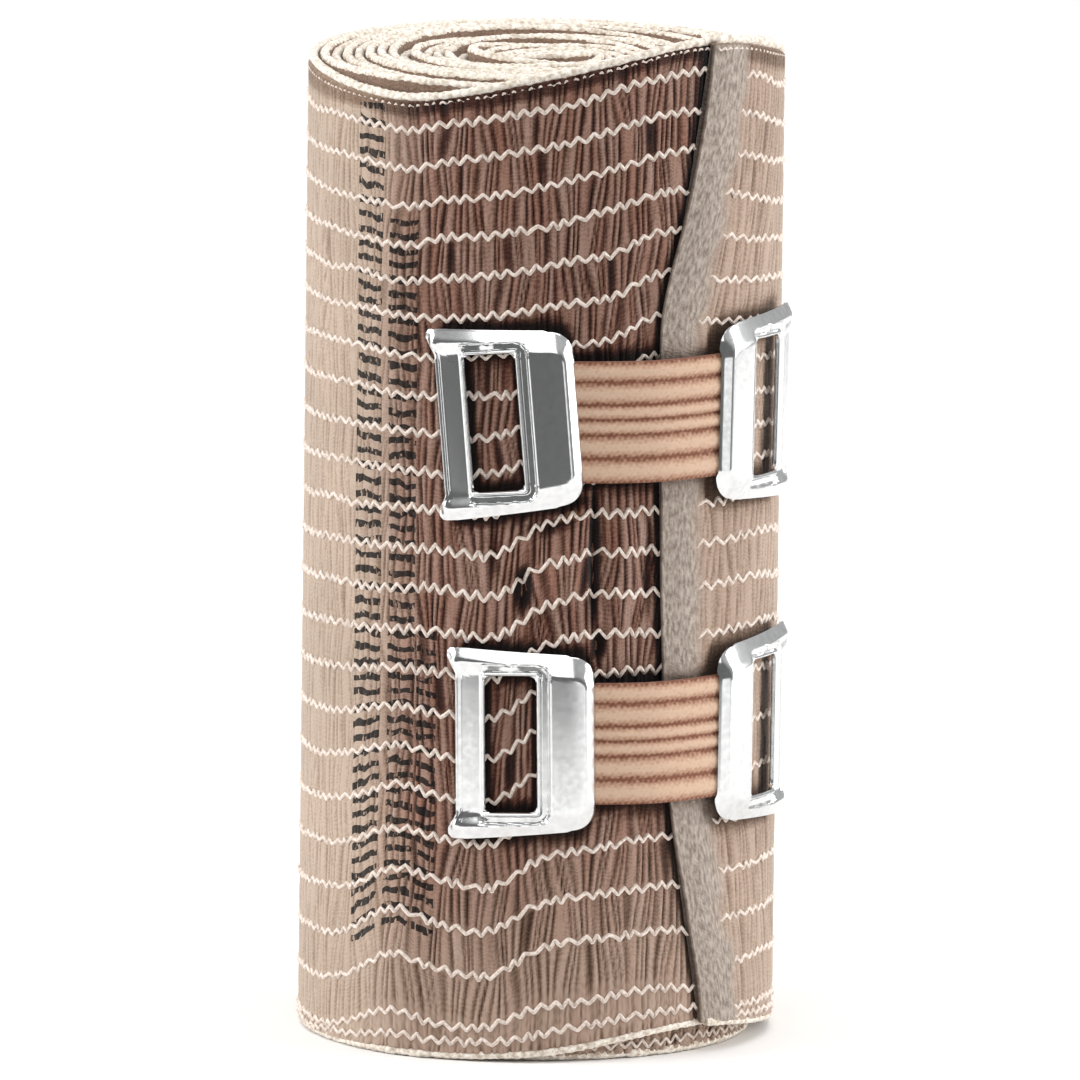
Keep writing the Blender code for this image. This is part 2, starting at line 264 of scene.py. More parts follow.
class SmoothCurve:
    """A smooth curve through one column of a table, level at its crests, its dips and its ends."""

    def __init__(self, rows: Sequence[tuple], column: int) -> None:
        """Reads the table.

        Args:
            rows: The table's rows, whose first column is the place along the curve.
            column: The column that the curve passes through.
        """
        self.places = np.array([row[0] for row in rows])
        self.values = np.array([row[column] for row in rows])
        steps = np.diff(self.values)
        rise = self.values[2:] - self.values[:-2]
        run = self.places[2:] - self.places[:-2]
        self.slopes = np.zeros(len(rows))
        self.slopes[1:-1] = np.where(steps[:-1] * steps[1:] > 0.0, rise / run, 0.0)

    def __call__(self, at: np.ndarray) -> np.ndarray:
        """The curve's values at places along it."""
        at = np.clip(at, self.places[0], self.places[-1])
        row = np.searchsorted(self.places, at, side="right") - 1
        row = np.clip(row, 0, len(self.places) - 2)
        run = self.places[row + 1] - self.places[row]
        share = (at - self.places[row]) / run
        eased = smooth(share)
        start = self.slopes[row] * share * (1.0 - share) ** 2
        stop = self.slopes[row + 1] * share**2 * (share - 1.0)
        return self.values[row] * (1.0 - eased) + self.values[row + 1] * eased + run * (start + stop)


def stack(*columns: np.ndarray | float) -> np.ndarray:
    """Points or vectors from their coordinates, which are spread to one common shape."""
    return np.stack(np.broadcast_arrays(*columns), axis=-1).astype(float)


@contextmanager
def editing(piece: bpy.types.Object) -> Iterator[None]:
    """Edit mode on one piece alone, with nothing of it selected at the start.

    Args:
        piece: The mesh object to edit.
    """
    pick(piece)
    bpy.ops.object.mode_set(mode="EDIT")
    bpy.ops.mesh.select_all(action="DESELECT")
    yield
    bpy.ops.object.mode_set(mode="OBJECT")


def pick(piece: bpy.types.Object) -> None:
    """Selects one piece alone and makes it the active one."""
    bpy.ops.object.select_all(action="DESELECT")
    piece.select_set(True)
    bpy.context.view_layer.objects.active = piece


def apply_modifier(piece: bpy.types.Object, kind: str, **settings: object) -> None:
    """Adds a modifier to a piece and applies it.

    Args:
        piece: The piece to change.
        kind: The modifier's type.
        settings: The modifier's properties by name.
    """
    pick(piece)
    modifier = piece.modifiers.new(kind.lower(), kind)
    for name, value in settings.items():
        setattr(modifier, name, value)
    bpy.ops.object.modifier_apply(modifier=modifier.name)


def shaped_grid(
    name: str, places: np.ndarray, traits: dict[str, np.ndarray]
) -> bpy.types.Object:
    """Adds a grid primitive and moves its vertices to a table of places.

    Args:
        name: The new piece's name.
        places: Points in metres, by column and row.
        traits: Named values or vectors for the materials, by column and row.

    Returns:
        The piece, with rows or columns that lie on each other welded.
    """
    columns, rows = places.shape[:2]
    bpy.ops.object.select_all(action="DESELECT")
    bpy.ops.mesh.primitive_grid_add(x_subdivisions=columns - 1, y_subdivisions=rows - 1, size=1.0)
    piece = bpy.context.active_object
    piece.name = name
    piece.data.name = name
    flat = np.empty(columns * rows * 3)
    piece.data.vertices.foreach_get("co", flat)
    column = np.rint((flat[0::3] + 0.5) * (columns - 1)).astype(int)
    row = np.rint((flat[1::3] + 0.5) * (rows - 1)).astype(int)
    piece.data.vertices.foreach_set("co", places[column, row].ravel())
    for trait, values in traits.items():
        vector = values.ndim == 3
        kind = "FLOAT_VECTOR" if vector else "FLOAT"
        attribute = piece.data.attributes.new(trait, kind, "POINT")
        attribute.data.foreach_set("vector" if vector else "value", values[column, row].ravel())
    with editing(piece):
        bpy.ops.mesh.select_all(action="SELECT")
        bpy.ops.mesh.remove_doubles(threshold=0.0005 * MM)
    return piece


def close_and_face_outwards(piece: bpy.types.Object) -> None:
    """Fills the open ends of a tube-like piece and turns its faces outwards."""
    with editing(piece):
        bpy.ops.mesh.select_mode(type="EDGE")
        bpy.ops.mesh.select_non_manifold(
            extend=False,
            use_wire=False,
            use_multi_face=False,
            use_non_contiguous=False,
            use_verts=False,
        )
        bpy.ops.mesh.edge_face_add()
        bpy.ops.mesh.select_all(action="SELECT")
        bpy.ops.mesh.normals_make_consistent(inside=False)


def shade(piece: bpy.types.Object, angle: float = 180.0) -> None:
    """Shades a piece smooth, apart from edges sharper than an angle in degrees."""
    pick(piece)
    bpy.ops.object.shade_smooth_by_angle(angle=math.radians(angle))


class Strand(NamedTuple):
    """A yarn: the points of its middle line, and its radius at each of them."""

    places: np.ndarray
    radii: np.ndarray


def yarns(name: str, strands: Sequence[Strand], around: int) -> bpy.types.Object:
    """Makes yarns as one mesh, from a curve with a round bevel.

    Args:
        name: The new piece's name.
        strands: The yarns.
        around: Extra sides for each quarter of a yarn, from 0 for a square one.

    Returns:
        The piece.
    """
    curve = bpy.data.curves.new(name, "CURVE")
    curve.dimensions = "3D"
    curve.bevel_depth = 1.0
    curve.bevel_resolution = around
    curve.use_fill_caps = True
    for strand in strands:
        spline = curve.splines.new("POLY")
        spline.points.add(len(strand.places) - 1)
        spline.points.foreach_set("co", stack(*strand.places.T, 1.0).ravel())
        spline.points.foreach_set("radius", strand.radii)
    piece = bpy.data.objects.new(name, curve)
    bpy.context.scene.collection.objects.link(piece)
    pick(piece)
    bpy.ops.object.convert(target="MESH")
    piece = bpy.context.active_object
    piece.data.name = name
    shade(piece)
    return piece


def linear(colour: str) -> tuple[float, float, float, float]:
    """The linear colour of an sRGB hex value."""
    shares = [int(colour[i : i + 2], 16) / 255.0 for i in (1, 3, 5)]
    lit = [s / 12.92 if s <= 0.04045 else ((s + 0.055) / 1.055) ** 2.4 for s in shares]
    return (*lit, 1.0)


def add_node(
    tree: bpy.types.NodeTree,
    kind: str,
    inputs: dict[str | int, object] | None = None,
    **settings: object,
) -> bpy.types.Node:
    """Adds one node to a material.

    Args:
        tree: The material's nodes.
        kind: The node's type.
        inputs: Values, or sockets to link, by input name or number.
        settings: The node's properties by name; stops are a colour ramp's (place, colour) pairs.

    Returns:
        The node.
    """
    node = tree.nodes.new(kind)
    stops = settings.pop("stops", ())
    for name, value in settings.items():
        setattr(node, name, value)
    for key, value in (inputs or {}).items():
        if isinstance(value, bpy.types.NodeSocket):
            tree.links.new(value, node.inputs[key])
        else:
            node.inputs[key].default_value = value
    for index, (place, colour) in enumerate(stops):
        elements = node.color_ramp.elements
        stop = elements[index] if index < 2 else elements.new(place)
        stop.position = place
        stop.color = linear(colour)
    return node


def new_material(name: str, **shader: object) -> tuple[bpy.types.Material, bpy.types.Node]:
    """A material with one Principled shader.

    Args:
        name: The material's name.
        shader: The shader's inputs that are the same all over, by name with _ for a space.

    Returns:
        The material and its shader.
    """
    made = bpy.data.materials.new(name)
    made.use_nodes = True
    principled = made.node_tree.nodes["Principled BSDF"]
    for key, value in shader.items():
        principled.inputs[key.replace("_", " ")].default_value = value
    return made, principled


class InkColumn(NamedTuple):
    """A column of plain ticks, in millimetres along and up the weave."""

    middle: float
    half_width: float
    height: float
    half_height: float


class Layer(NamedTuple):
    """A colour, the share of the surface that shows it, and Blender's name for how it mixes in."""

    colour: bpy.types.NodeSocket | tuple[float, float, float, float]
    share: bpy.types.NodeSocket
    blend: str = "MIX"


@dataclass(frozen=True)
class SkinColouredCrepe:
    """Cotton crepe, dyed a skin colour and woven with elastic yarns.

    The yarns shrink as the cloth leaves the loom and draw it into fine upright pleats. It has no
    gloss, only the faint bright edge of loose fibres. Its furrows are painted dark as shade and its
    crests pale as a painted highlight. Where the cloth is pulled open it is paler and more even, and
    the same paler colour on the roll's sides is also painted light from the side lamps.
    """

    # Painted shade in the furrows and on their slopes, the cloth's own face colour, and a painted highlight
    # on the crests
    furrow_shade: str = "#1a0d09"
    slope_shade: str = "#4f3028"
    face: str = "#7a5e53"
    crest: str = "#b0978d"
    # The same for opened cloth, paler also as painted light on the roll's sides
    open_side_lit_furrow: str = "#57402f"
    open_side_lit_face: str = "#8c7562"
    open_side_lit_crest: str = "#b8a594"
    rust: str = "#8c6352"
    moss: str = "#77735f"
    hem: str = "#b2a69b"
    hem_speck: str = "#7f7268"
    ink: str = "#0d0908"
    # A yarn is about a quarter of a millimetre thick, and its loose fluff about half of that
    fibre_mm: float = 0.28
    fluff_mm: float = 0.12
    # The real weft lies 0.3 mm apart, too fine to show in the picture, so it is drawn coarser
    weft_mm: float = 0.46
    pleat_mm: float = 1.1
    band_mm: float = 3.9
    fibre_share: float = 0.5
    fluff_share: float = 0.38
    weft_share: float = 0.12
    # How many of each fit in a millimetre along and up the strip
    stains: tuple[float, float] = (0.09, 0.07)
    hem_specks: tuple[float, float] = (3.2, 1.1)
    crossings: tuple[float, float] = (2.4, 3.4)
    weft_waves: tuple[float, float] = (1.1, 0.6)
    tick_waves: tuple[float, float] = (0.6, 0.3)
    ink_patches: tuple[float, float] = (2.4, 0.9)
    weft_wave_mm: float = 1.6
    tick_wave_mm: float = 1.4
    stain_range: tuple[float, float] = (0.84, 1.16)
    bump_depth: float = 0.12 * MM
    tick_pitch_mm: float = 1.6
    tick_share: float = 0.45
    tick_cover: float = 0.94
    # Between these heights of the cloth the stamp begins to take and takes fully
    ink_takes: tuple[float, float] = (0.25, 0.45)
    ink_patchiness: float = 4.0

    def build(self, ink_columns: Sequence[InkColumn]) -> bpy.types.Material:
        """Builds the cloth's material.

        Args:
            ink_columns: The columns of plain gauge ticks.

        Returns:
            The material.
        """
        made, shader = new_material(
            "skin_coloured_crepe",
            Roughness=0.92,
            Specular_IOR_Level=0.2,
            Sheen_Weight=0.18,
            Sheen_Roughness=0.5,
        )
        tree = made.node_tree
        weave = add_node(tree, "ShaderNodeAttribute", attribute_name="weave").outputs["Vector"]
        relief_and_shade, tint, stretch, hem = (
            add_node(tree, "ShaderNodeAttribute", attribute_name=name).outputs["Fac"]
            for name in ("relief_and_shade", "tint", "stretch", "hem")
        )
        fibres = self.woven_noise(tree, weave, (1.0 / self.fibre_mm, 0.45), 3.0)
        blotch = self.woven_noise(tree, weave, (1.0 / self.pleat_mm, 1.0 / self.band_mm), 2.0)
        stain = self.woven_noise(tree, weave, self.stains, 2.0)
        fluff = self.woven_noise(tree, weave, (1.0 / self.fluff_mm, 0.9), 2.0)
        speck = self.woven_noise(tree, weave, self.hem_specks, 3.0)
        cross = self.woven_noise(tree, weave, self.crossings, 2.0)
        weft = self.weft(tree, weave)
        lifted = relief_and_shade
        for noise, strength in (
            (fibres, self.fibre_share),
            (fluff, self.fluff_share),
            (weft, self.weft_share),
        ):
            lifted = self.roughened(tree, lifted, noise, strength)
        # The ramps paint shade where the relief is low and a highlight where it is high; the relief also
        # carries the painted shadows of the clips, the free end and the creases
        tight_stops = (0.06, self.furrow_shade), (1.0, self.crest), (0.4, self.slope_shade), (0.66, self.face)
        open_side_lit_stops = (0.1, self.open_side_lit_furrow), (0.95, self.open_side_lit_crest), (0.5, self.open_side_lit_face)
        hem_stops = (0.34, self.hem_speck), (0.64, self.hem)
        tight_cloth, open_side_lit_cloth, hem_cloth = (
            add_node(tree, "ShaderNodeValToRGB", {"Fac": value}, stops=stops).outputs["Color"]
            for value, stops in ((lifted, tight_stops), (lifted, open_side_lit_stops), (speck, hem_stops))
        )
        dyed = self.painted(
            tree,
            tight_cloth,
            Layer(linear(self.rust), tint, "SOFT_LIGHT"),
            Layer(linear(self.moss), blotch, "SOFT_LIGHT"),
            Layer(open_side_lit_cloth, stretch),
            Layer(hem_cloth, hem),
        )
        darkest, lightest = self.stain_range
        shadowy = add_node(
            tree, "ShaderNodeMapRange", {"Value": stain, "To Min": darkest, "To Max": lightest}
        )
        toned = add_node(
            tree, "ShaderNodeHueSaturation", {"Color": dyed, "Value": shadowy.outputs["Result"]}
        )
        ticks = self.ticks(tree, weave, lifted, ink_columns)
        marked = self.painted(tree, toned.outputs["Color"], Layer(linear(self.ink), ticks))
        tree.links.new(marked, shader.inputs["Base Color"])
        rough = self.roughened(tree, self.roughened(tree, fibres, cross, 0.5), weft, 0.5)
        bump = add_node(
            tree, "ShaderNodeBump", {"Height": rough, "Strength": 0.5, "Distance": self.bump_depth}
        )
        tree.links.new(bump.outputs["Normal"], shader.inputs["Normal"])
        return made

    def woven_noise(
        self,
        tree: bpy.types.NodeTree,
        weave: bpy.types.NodeSocket,
        per_mm: tuple[float, float],
        detail: float,
    ) -> bpy.types.NodeSocket:
        """Noise that follows the weave.

        Args:
            tree: The material's nodes.
            weave: Places in the weave, in millimetres.
            per_mm: How many spots fit in a millimetre along and up the strip.
            detail: How many finer layers the noise has.

        Returns:
            The noise, mostly between 0.3 and 0.7.
        """
        scaled = add_node(
            tree, "ShaderNodeVectorMath", {0: weave, 1: (*per_mm, 1.0)}, operation="MULTIPLY"
        )
        return add_node(
            tree, "ShaderNodeTexNoise", {"Vector": scaled.outputs[0], "Scale": 1.0, "Detail": detail}
        ).outputs["Fac"]

    def roughened(
        self,
        tree: bpy.types.NodeTree,
        base: bpy.types.NodeSocket,
        noise: bpy.types.NodeSocket,
        strength: float,
    ) -> bpy.types.NodeSocket:
        """A value that noise round 0.5, multiplied by a strength, raises and lowers evenly."""
        centred = add_node(tree, "ShaderNodeMath", {0: noise, 1: 0.5}, operation="SUBTRACT").outputs[0]
        return add_node(
            tree, "ShaderNodeMath", {0: centred, 1: strength, 2: base}, operation="MULTIPLY_ADD"
        ).outputs[0]

    def weft(self, tree: bpy.types.NodeTree, weave: bpy.types.NodeSocket) -> bpy.types.NodeSocket:
        """The fine yarns that cross the pleats.

        Args:
            tree: The material's nodes.
            weave: Places in the weave, in millimetres.

        Returns:
            A wavy comb of values from 0 to 1.
        """
        up = add_node(tree, "ShaderNodeSeparateXYZ", {0: weave}).outputs["Y"]
        waves = self.woven_noise(tree, weave, self.weft_waves, 1.0)
        comb = self.roughened(tree, up, waves, self.weft_wave_mm)
        for inputs, operation in (
            ({1: 2.0 * math.pi / self.weft_mm}, "MULTIPLY"),
            ({}, "SINE"),
            ({1: 0.5, 2: 0.5}, "MULTIPLY_ADD"),
        ):
            comb = add_node(tree, "ShaderNodeMath", {0: comb, **inputs}, operation=operation).outputs[0]
        return comb

    def painted(
        self, tree: bpy.types.NodeTree, colour: bpy.types.NodeSocket, *layers: Layer
    ) -> bpy.types.NodeSocket:
        """Lays colours over a colour, one after another.

        Args:
            tree: The material's nodes.
            colour: The colour underneath.
            layers: What lies on it, from below.

        Returns:
            The colour that shows.
        """
        for layer in layers:
            colour = add_node(
                tree,
                "ShaderNodeMix",
                {0: layer.share, 6: colour, 7: layer.colour},
                data_type="RGBA",
                blend_type=layer.blend,
            ).outputs[2]
        return colour

    def ticks(
        self,
        tree: bpy.types.NodeTree,
        weave: bpy.types.NodeSocket,
        lifted: bpy.types.NodeSocket,
        columns: Sequence[InkColumn],
    ) -> bpy.types.NodeSocket:
        """Columns of plain stamped ticks, which take best on the crests of the pleats.

        Args:
            tree: The material's nodes.
            weave: Places in the weave, in millimetres.
            lifted: How high the cloth stands, from 0 to 1.
            columns: The columns of ticks.

        Returns:
            How much ink shows, from 0 to 1.
        """
        apart = add_node(tree, "ShaderNodeSeparateXYZ", {0: weave})
        along, up = apart.outputs["X"], apart.outputs["Y"]
        waves = self.woven_noise(tree, weave, self.tick_waves, 1.0)
        tick = self.roughened(tree, up, waves, self.tick_wave_mm)
        for inputs, operation in (
            ({1: 1.0 / self.tick_pitch_mm}, "MULTIPLY"),
            ({}, "FRACT"),
            ({1: self.tick_share}, "LESS_THAN"),
        ):
            tick = add_node(tree, "ShaderNodeMath", {0: tick, **inputs}, operation=operation).outputs[0]
        shown = 0.0
        for column in columns:
            inside, within = (
                add_node(
                    tree, "ShaderNodeMath", {0: place, 1: middle, 2: reach}, operation="COMPARE"
                ).outputs[0]
                for place, middle, reach in (
                    (along, column.middle, column.half_width),
                    (up, column.height, column.half_height),
                )
            )
            shown = add_node(
                tree, "ShaderNodeMath", {0: inside, 1: within, 2: shown}, operation="MULTIPLY_ADD"
            ).outputs[0]
        patches = self.woven_noise(tree, weave, self.ink_patches, 1.0)
        patchy = self.roughened(tree, lifted, patches, self.ink_patchiness)
        begins, full = self.ink_takes
        takes = add_node(
            tree, "ShaderNodeMapRange", {"Value": patchy, "From Min": begins, "From Max": full}
        ).outputs["Result"]
        for share in (tick, takes, self.tick_cover):
            shown = add_node(tree, "ShaderNodeMath", {0: shown, 1: share}, operation="MULTIPLY").outputs[0]
        return shown


@dataclass(frozen=True)
class SpunYarn:
    """Bleached cotton, spun and only lightly twisted.

    It is matt, with a soft bright edge of loose fibres and small darker flecks between its twists.
    """

    name: str
    light: str
    dark: str
    # A twist of thin sewing thread is about a third of a millimetre long
    fleck_mm: float = 0.35
    bump_depth: float = 0.08 * MM

    def build(self) -> bpy.types.Material:
        """Builds the yarn's material."""
        made, shader = new_material(
            self.name, Roughness=0.9, Specular_IOR_Level=0.2, Sheen_Weight=0.25, Sheen_Roughness=0.4
        )
        tree = made.node_tree
        place = add_node(tree, "ShaderNodeTexCoord").outputs["Object"]
        fleck = add_node(
            tree,
            "ShaderNodeTexNoise",
            {"Vector": place, "Scale": 1.0 / (self.fleck_mm * MM), "Detail": 2.0},
        ).outputs["Fac"]
        colour = add_node(
            tree, "ShaderNodeValToRGB", {"Fac": fleck}, stops=((0.3, self.dark), (0.62, self.light))
        )
        tree.links.new(colour.outputs["Color"], shader.inputs["Base Color"])
        bump = add_node(
            tree, "ShaderNodeBump", {"Height": fleck, "Strength": 0.6, "Distance": self.bump_depth}
        )
        tree.links.new(bump.outputs["Normal"], shader.inputs["Normal"])
        return made


@dataclass(frozen=True)
class PressedAluminium:
    """Aluminium sheet, blanked and pressed in a die, and then tumbled bright.

    The die leaves shallow dents that bend the reflections a little. Tumbling leaves fine scuffs,
    which make them slightly cloudy. Metal keeps the default IOR.
    """

    bright: str = "#e6e7e7"
    scuffed: str = "#d9dada"
    scuff_mm: float = 0.7
    dent_mm: float = 2.4
    scuffed_roughness: float = 0.17
    bright_roughness: float = 0.12
    scuff_depth: float = 0.03 * MM
    dent_depth: float = 0.1 * MM

    def build(self) -> bpy.types.Material:
        """Builds the metal's material."""
        made, shader = new_material("pressed_aluminium", Metallic=1.0)
        tree = made.node_tree
        place = add_node(tree, "ShaderNodeTexCoord").outputs["Object"]
        scuffs, dents = (
            add_node(
                tree,
                "ShaderNodeTexNoise",
                {"Vector": place, "Scale": 1.0 / (size_mm * MM), "Detail": detail},
            ).outputs["Fac"]
            for size_mm, detail in ((self.scuff_mm, 5.0), (self.dent_mm, 1.0))
        )
        colour = add_node(
            tree, "ShaderNodeValToRGB", {"Fac": scuffs}, stops=((0.35, self.scuffed), (0.65, self.bright))
        )
        tree.links.new(colour.outputs["Color"], shader.inputs["Base Color"])
        rough = add_node(
            tree,
            "ShaderNodeMapRange",
            {
                "Value": scuffs,
                "From Min": 0.3,
                "From Max": 0.7,
                "To Min": self.scuffed_roughness,
                "To Max": self.bright_roughness,
            },
        )
        tree.links.new(rough.outputs["Result"], shader.inputs["Roughness"])
        dented = add_node(
            tree, "ShaderNodeBump", {"Height": dents, "Strength": 0.05, "Distance": self.dent_depth}
        )
        worn = add_node(
            tree,
            "ShaderNodeBump",
            {
                "Height": scuffs,
                "Strength": 0.04,
                "Distance": self.scuff_depth,
                "Normal": dented.outputs["Normal"],
            },
        )
        tree.links.new(worn.outputs["Normal"], shader.inputs["Normal"])
        return made


@dataclass(frozen=True)
class RibbedElastic:
    """Rubber cords braided over with fine dyed yarn.

    The braid leaves matt ribs with small cross stitches, and painted shade darkens the valleys where ribs
    meet.
    """

    # Paler on the ribs' crests, and dark as painted shade in the valleys between them
    light: str = "#ccae96"
    middle: str = "#b48e76"
    dark: str = "#7c4d39"
    # The braid's yarn is about 0.28 mm thick, and a stitch is two yarns long
    stitch_mm: float = 0.56
    stitch_share: float = 0.9
    bump_depth: float = 0.1 * MM

    def build(self) -> bpy.types.Material:
        """Builds the elastic's material."""
        made, shader = new_material(
            "ribbed_elastic", Roughness=0.82, Specular_IOR_Level=0.3, Sheen_Weight=0.15
        )
        tree = made.node_tree
        weave = add_node(tree, "ShaderNodeAttribute", attribute_name="weave").outputs["Vector"]
        relief_and_shade = add_node(tree, "ShaderNodeAttribute", attribute_name="relief_and_shade").outputs["Fac"]
        scaled = add_node(
            tree,
            "ShaderNodeVectorMath",
            {0: weave, 1: (1.0 / self.stitch_mm, 2.2 / self.stitch_mm, 1.0)},
            operation="MULTIPLY",
        )
        noise = add_node(
            tree, "ShaderNodeTexNoise", {"Vector": scaled.outputs[0], "Scale": 0.8, "Detail": 3.0}
        ).outputs["Fac"]
        centred = add_node(tree, "ShaderNodeMath", {0: noise, 1: 0.5}, operation="SUBTRACT").outputs[0]
        shown = add_node(
            tree, "ShaderNodeMath", {0: centred, 1: self.stitch_share, 2: relief_and_shade}, operation="MULTIPLY_ADD"
        )
        colour = add_node(
            tree,
            "ShaderNodeValToRGB",
            {"Fac": shown.outputs[0]},
            stops=((0.08, self.dark), (0.95, self.light), (0.5, self.middle)),
        )
        tree.links.new(colour.outputs["Color"], shader.inputs["Base Color"])
        bump = add_node(
            tree, "ShaderNodeBump", {"Height": noise, "Strength": 0.5, "Distance": self.bump_depth}
        )
        tree.links.new(bump.outputs["Normal"], shader.inputs["Normal"])
        return made


@dataclass(frozen=True)
class MattCard:
    """White card under the object: matt, with no pattern that would draw the eye."""

    colour: str = "#f4f3f2"

    def build(self) -> bpy.types.Material:
        """Builds the card's material."""
        made, shader = new_material("matt_card", Roughness=0.95, Specular_IOR_Level=0.1)
        shader.inputs["Base Color"].default_value = linear(self.colour)
        return made


@dataclass
class Roll:
    """The strip wound into a roll, as the frame holds it."""

    width: float = 100.0 * MM
    thickness: float = 1.0 * MM
    gap: float = 0.15 * MM
    radius: float = 24.575 * MM
    core_radius: float = 2.3 * MM
    end_angle: float = 46.0
    corner: tuple[float, float, float] = (-38.0, 20.0, 0.016)
    flat: tuple[float, float, float] = (4.0, 38.0, -0.022)
    ripple: float = 0.45 * MM
    skew_rise: float = 4.6 * MM
    fold_rise: float = 1.1 * MM
    end_bow: float = 15.0
    end_bow_fade: float = 62.0
    # How fast each wave of the top edge runs, where it starts, and its share
    ripples: tuple[tuple[float, float, float], ...] = ((1.37, 0.8, 0.6), (0.43, 0.0, 0.4))
    weave_levels: tuple[float, ...] = (0.0, 0.03, 0.12, 0.20, 0.47, 0.72, 0.88, 0.97, 1.0)
    source_columns: int = 59
    source_columns_per_turn: float = 56.0
    source_rows: int = 11
    axis: np.ndarray = field(default_factory=lambda: np.zeros(3))

    def __post_init__(self) -> None:
        """Draws the tables' curves and finds the roll's axis in the frame."""
        self.pitch = self.thickness + self.gap
        self.turns = (self.radius - self.thickness - self.core_radius) / self.pitch
        self.top_skew = SmoothCurve(SKEWS, 1)
        self.foot_skew = SmoothCurve(SKEWS, 2)
        self.climbs = [SmoothCurve(CLIMBS, column) for column in range(1, 6)]
        self.bow = SmoothCurve(BOWS, 1)
        back = np.arange(self.source_columns)[:, None] * TURN / self.source_columns_per_turn
        share = np.linspace(0.0, 1.0, self.source_rows)[None, :]
        own = self.at_share(back, share, 0.0).reshape(-1, 3)
        lowest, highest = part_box("bandage")
        middle = (np.array(lowest) + np.array(highest)) / 2.0
        self.axis = middle - (own.min(axis=0) + own.max(axis=0)) / 2.0
        self.axis[2] = 0.0

    def face_radius(self, back: np.ndarray) -> np.ndarray:
        """Radius of the strip's outer face, without folds."""
        angle = self.end_angle + back
        round_share = np.ones_like(angle, dtype=float)
        for middle, spread, share in (self.corner, self.flat):
            round_share += share * bell(within_half_turn(angle - middle) / spread)
        return (self.radius - self.pitch * back / TURN) * round_share

    def bulge(self, back: np.ndarray, share: np.ndarray, folds: Sequence[Fold]) -> np.ndarray:
        """How far folds lift the last turn.

        Args:
            back: Back angles.
            share: Shares of the height.
            folds: The folds.

        Returns:
            Lifts in metres.
        """
        lift = np.zeros(np.broadcast(back, share).shape)
        for fold in folds:
            turned = within_half_turn(self.end_angle + back - fold.angle)
            across = np.radians(turned) * self.radius / (fold.half_girth * self.width)
            along = (share - fold.height) / fold.half_height
            away = np.minimum(np.hypot(across, along), 1.0)
            lift += fold.rise * self.fold_rise * 0.5 * (1.0 + np.cos(math.pi * away))
        return lift

    def edges(self, back: np.ndarray) -> tuple[np.ndarray, np.ndarray]:
        """Heights of the strip's foot and top edge."""
        winding = np.radians(back)
        wave = sum(np.sin(pace * winding + start) * share for pace, start, share in self.ripples)
        wave = wave * smooth((back - TURN) / TURN)
        top = self.width + self.skew_rise * self.top_skew(back) + self.ripple * wave
        return self.skew_rise * np.maximum(0.0, self.foot_skew(back)), top

    def bowed(self, back: np.ndarray, share: np.ndarray) -> np.ndarray:
        """Back angles, by share of the height, after the clips have pulled the free end round."""
        fade = smooth((self.end_bow_fade - back) / self.end_bow_fade)
        return back - self.end_bow * self.bow(share) * fade

    def at_share(self, back: np.ndarray, share: np.ndarray, lift: np.ndarray | float) -> np.ndarray:
        """Points of the strip.

        Args:
            back: Back angles.
            share: Shares of the strip's height there.
            lift: Distances outwards from the strip's outer face.

        Returns:
            The points, in metres.
        """
        foot, top = self.edges(back)
        shifted = self.bowed(back, share)
        folded = np.where(back < TURN, self.bulge(shifted, share, FOLDS), 0.0)
        radius = self.face_radius(shifted) + folded + lift
        angle = np.radians(self.end_angle + shifted)
        height = foot + (top - foot) * share
        return stack(radius * np.sin(angle), -radius * np.cos(angle), height) + self.axis

    def share_of(self, back: np.ndarray, weave: np.ndarray) -> np.ndarray:
        """Shares of the strip's height at which places of the weave lie.

        Args:
            back: Back angles.
            weave: Heights in the weave, as shares of its width.

        Returns:
            Shares of the height.
        """
        foot, top = self.edges(back)
        crown, shoulder, waist, hip, low = (self.skew_rise * climb(back) for climb in self.climbs)
        levels = self.weave_levels
        climbs = (foot, low, low, hip, waist, shoulder, crown, crown, top - self.width)
        rise = np.broadcast_to(foot, np.broadcast(back, weave).shape)
        for start, stop, below, above in zip(levels, levels[1:], climbs, climbs[1:]):
            eased = smooth((weave - start) / (stop - start))
            rise = np.where(weave > start, below * (1.0 - eased) + above * eased, rise)
        return (self.width * weave + rise - foot) / (top - foot)

    def at_weave(self, back: np.ndarray, weave: np.ndarray, lift: np.ndarray | float) -> np.ndarray:
        """Points of the strip at heights of its weave, lifted outwards from its outer face."""
        return self.at_share(back, self.share_of(back, weave), lift)

    def girth(self, back: np.ndarray | float) -> np.ndarray:
        """Length of strip from the free end to a back angle, in metres."""
        return np.radians(back) * (self.radius - self.pitch * back / TURN / 2.0)


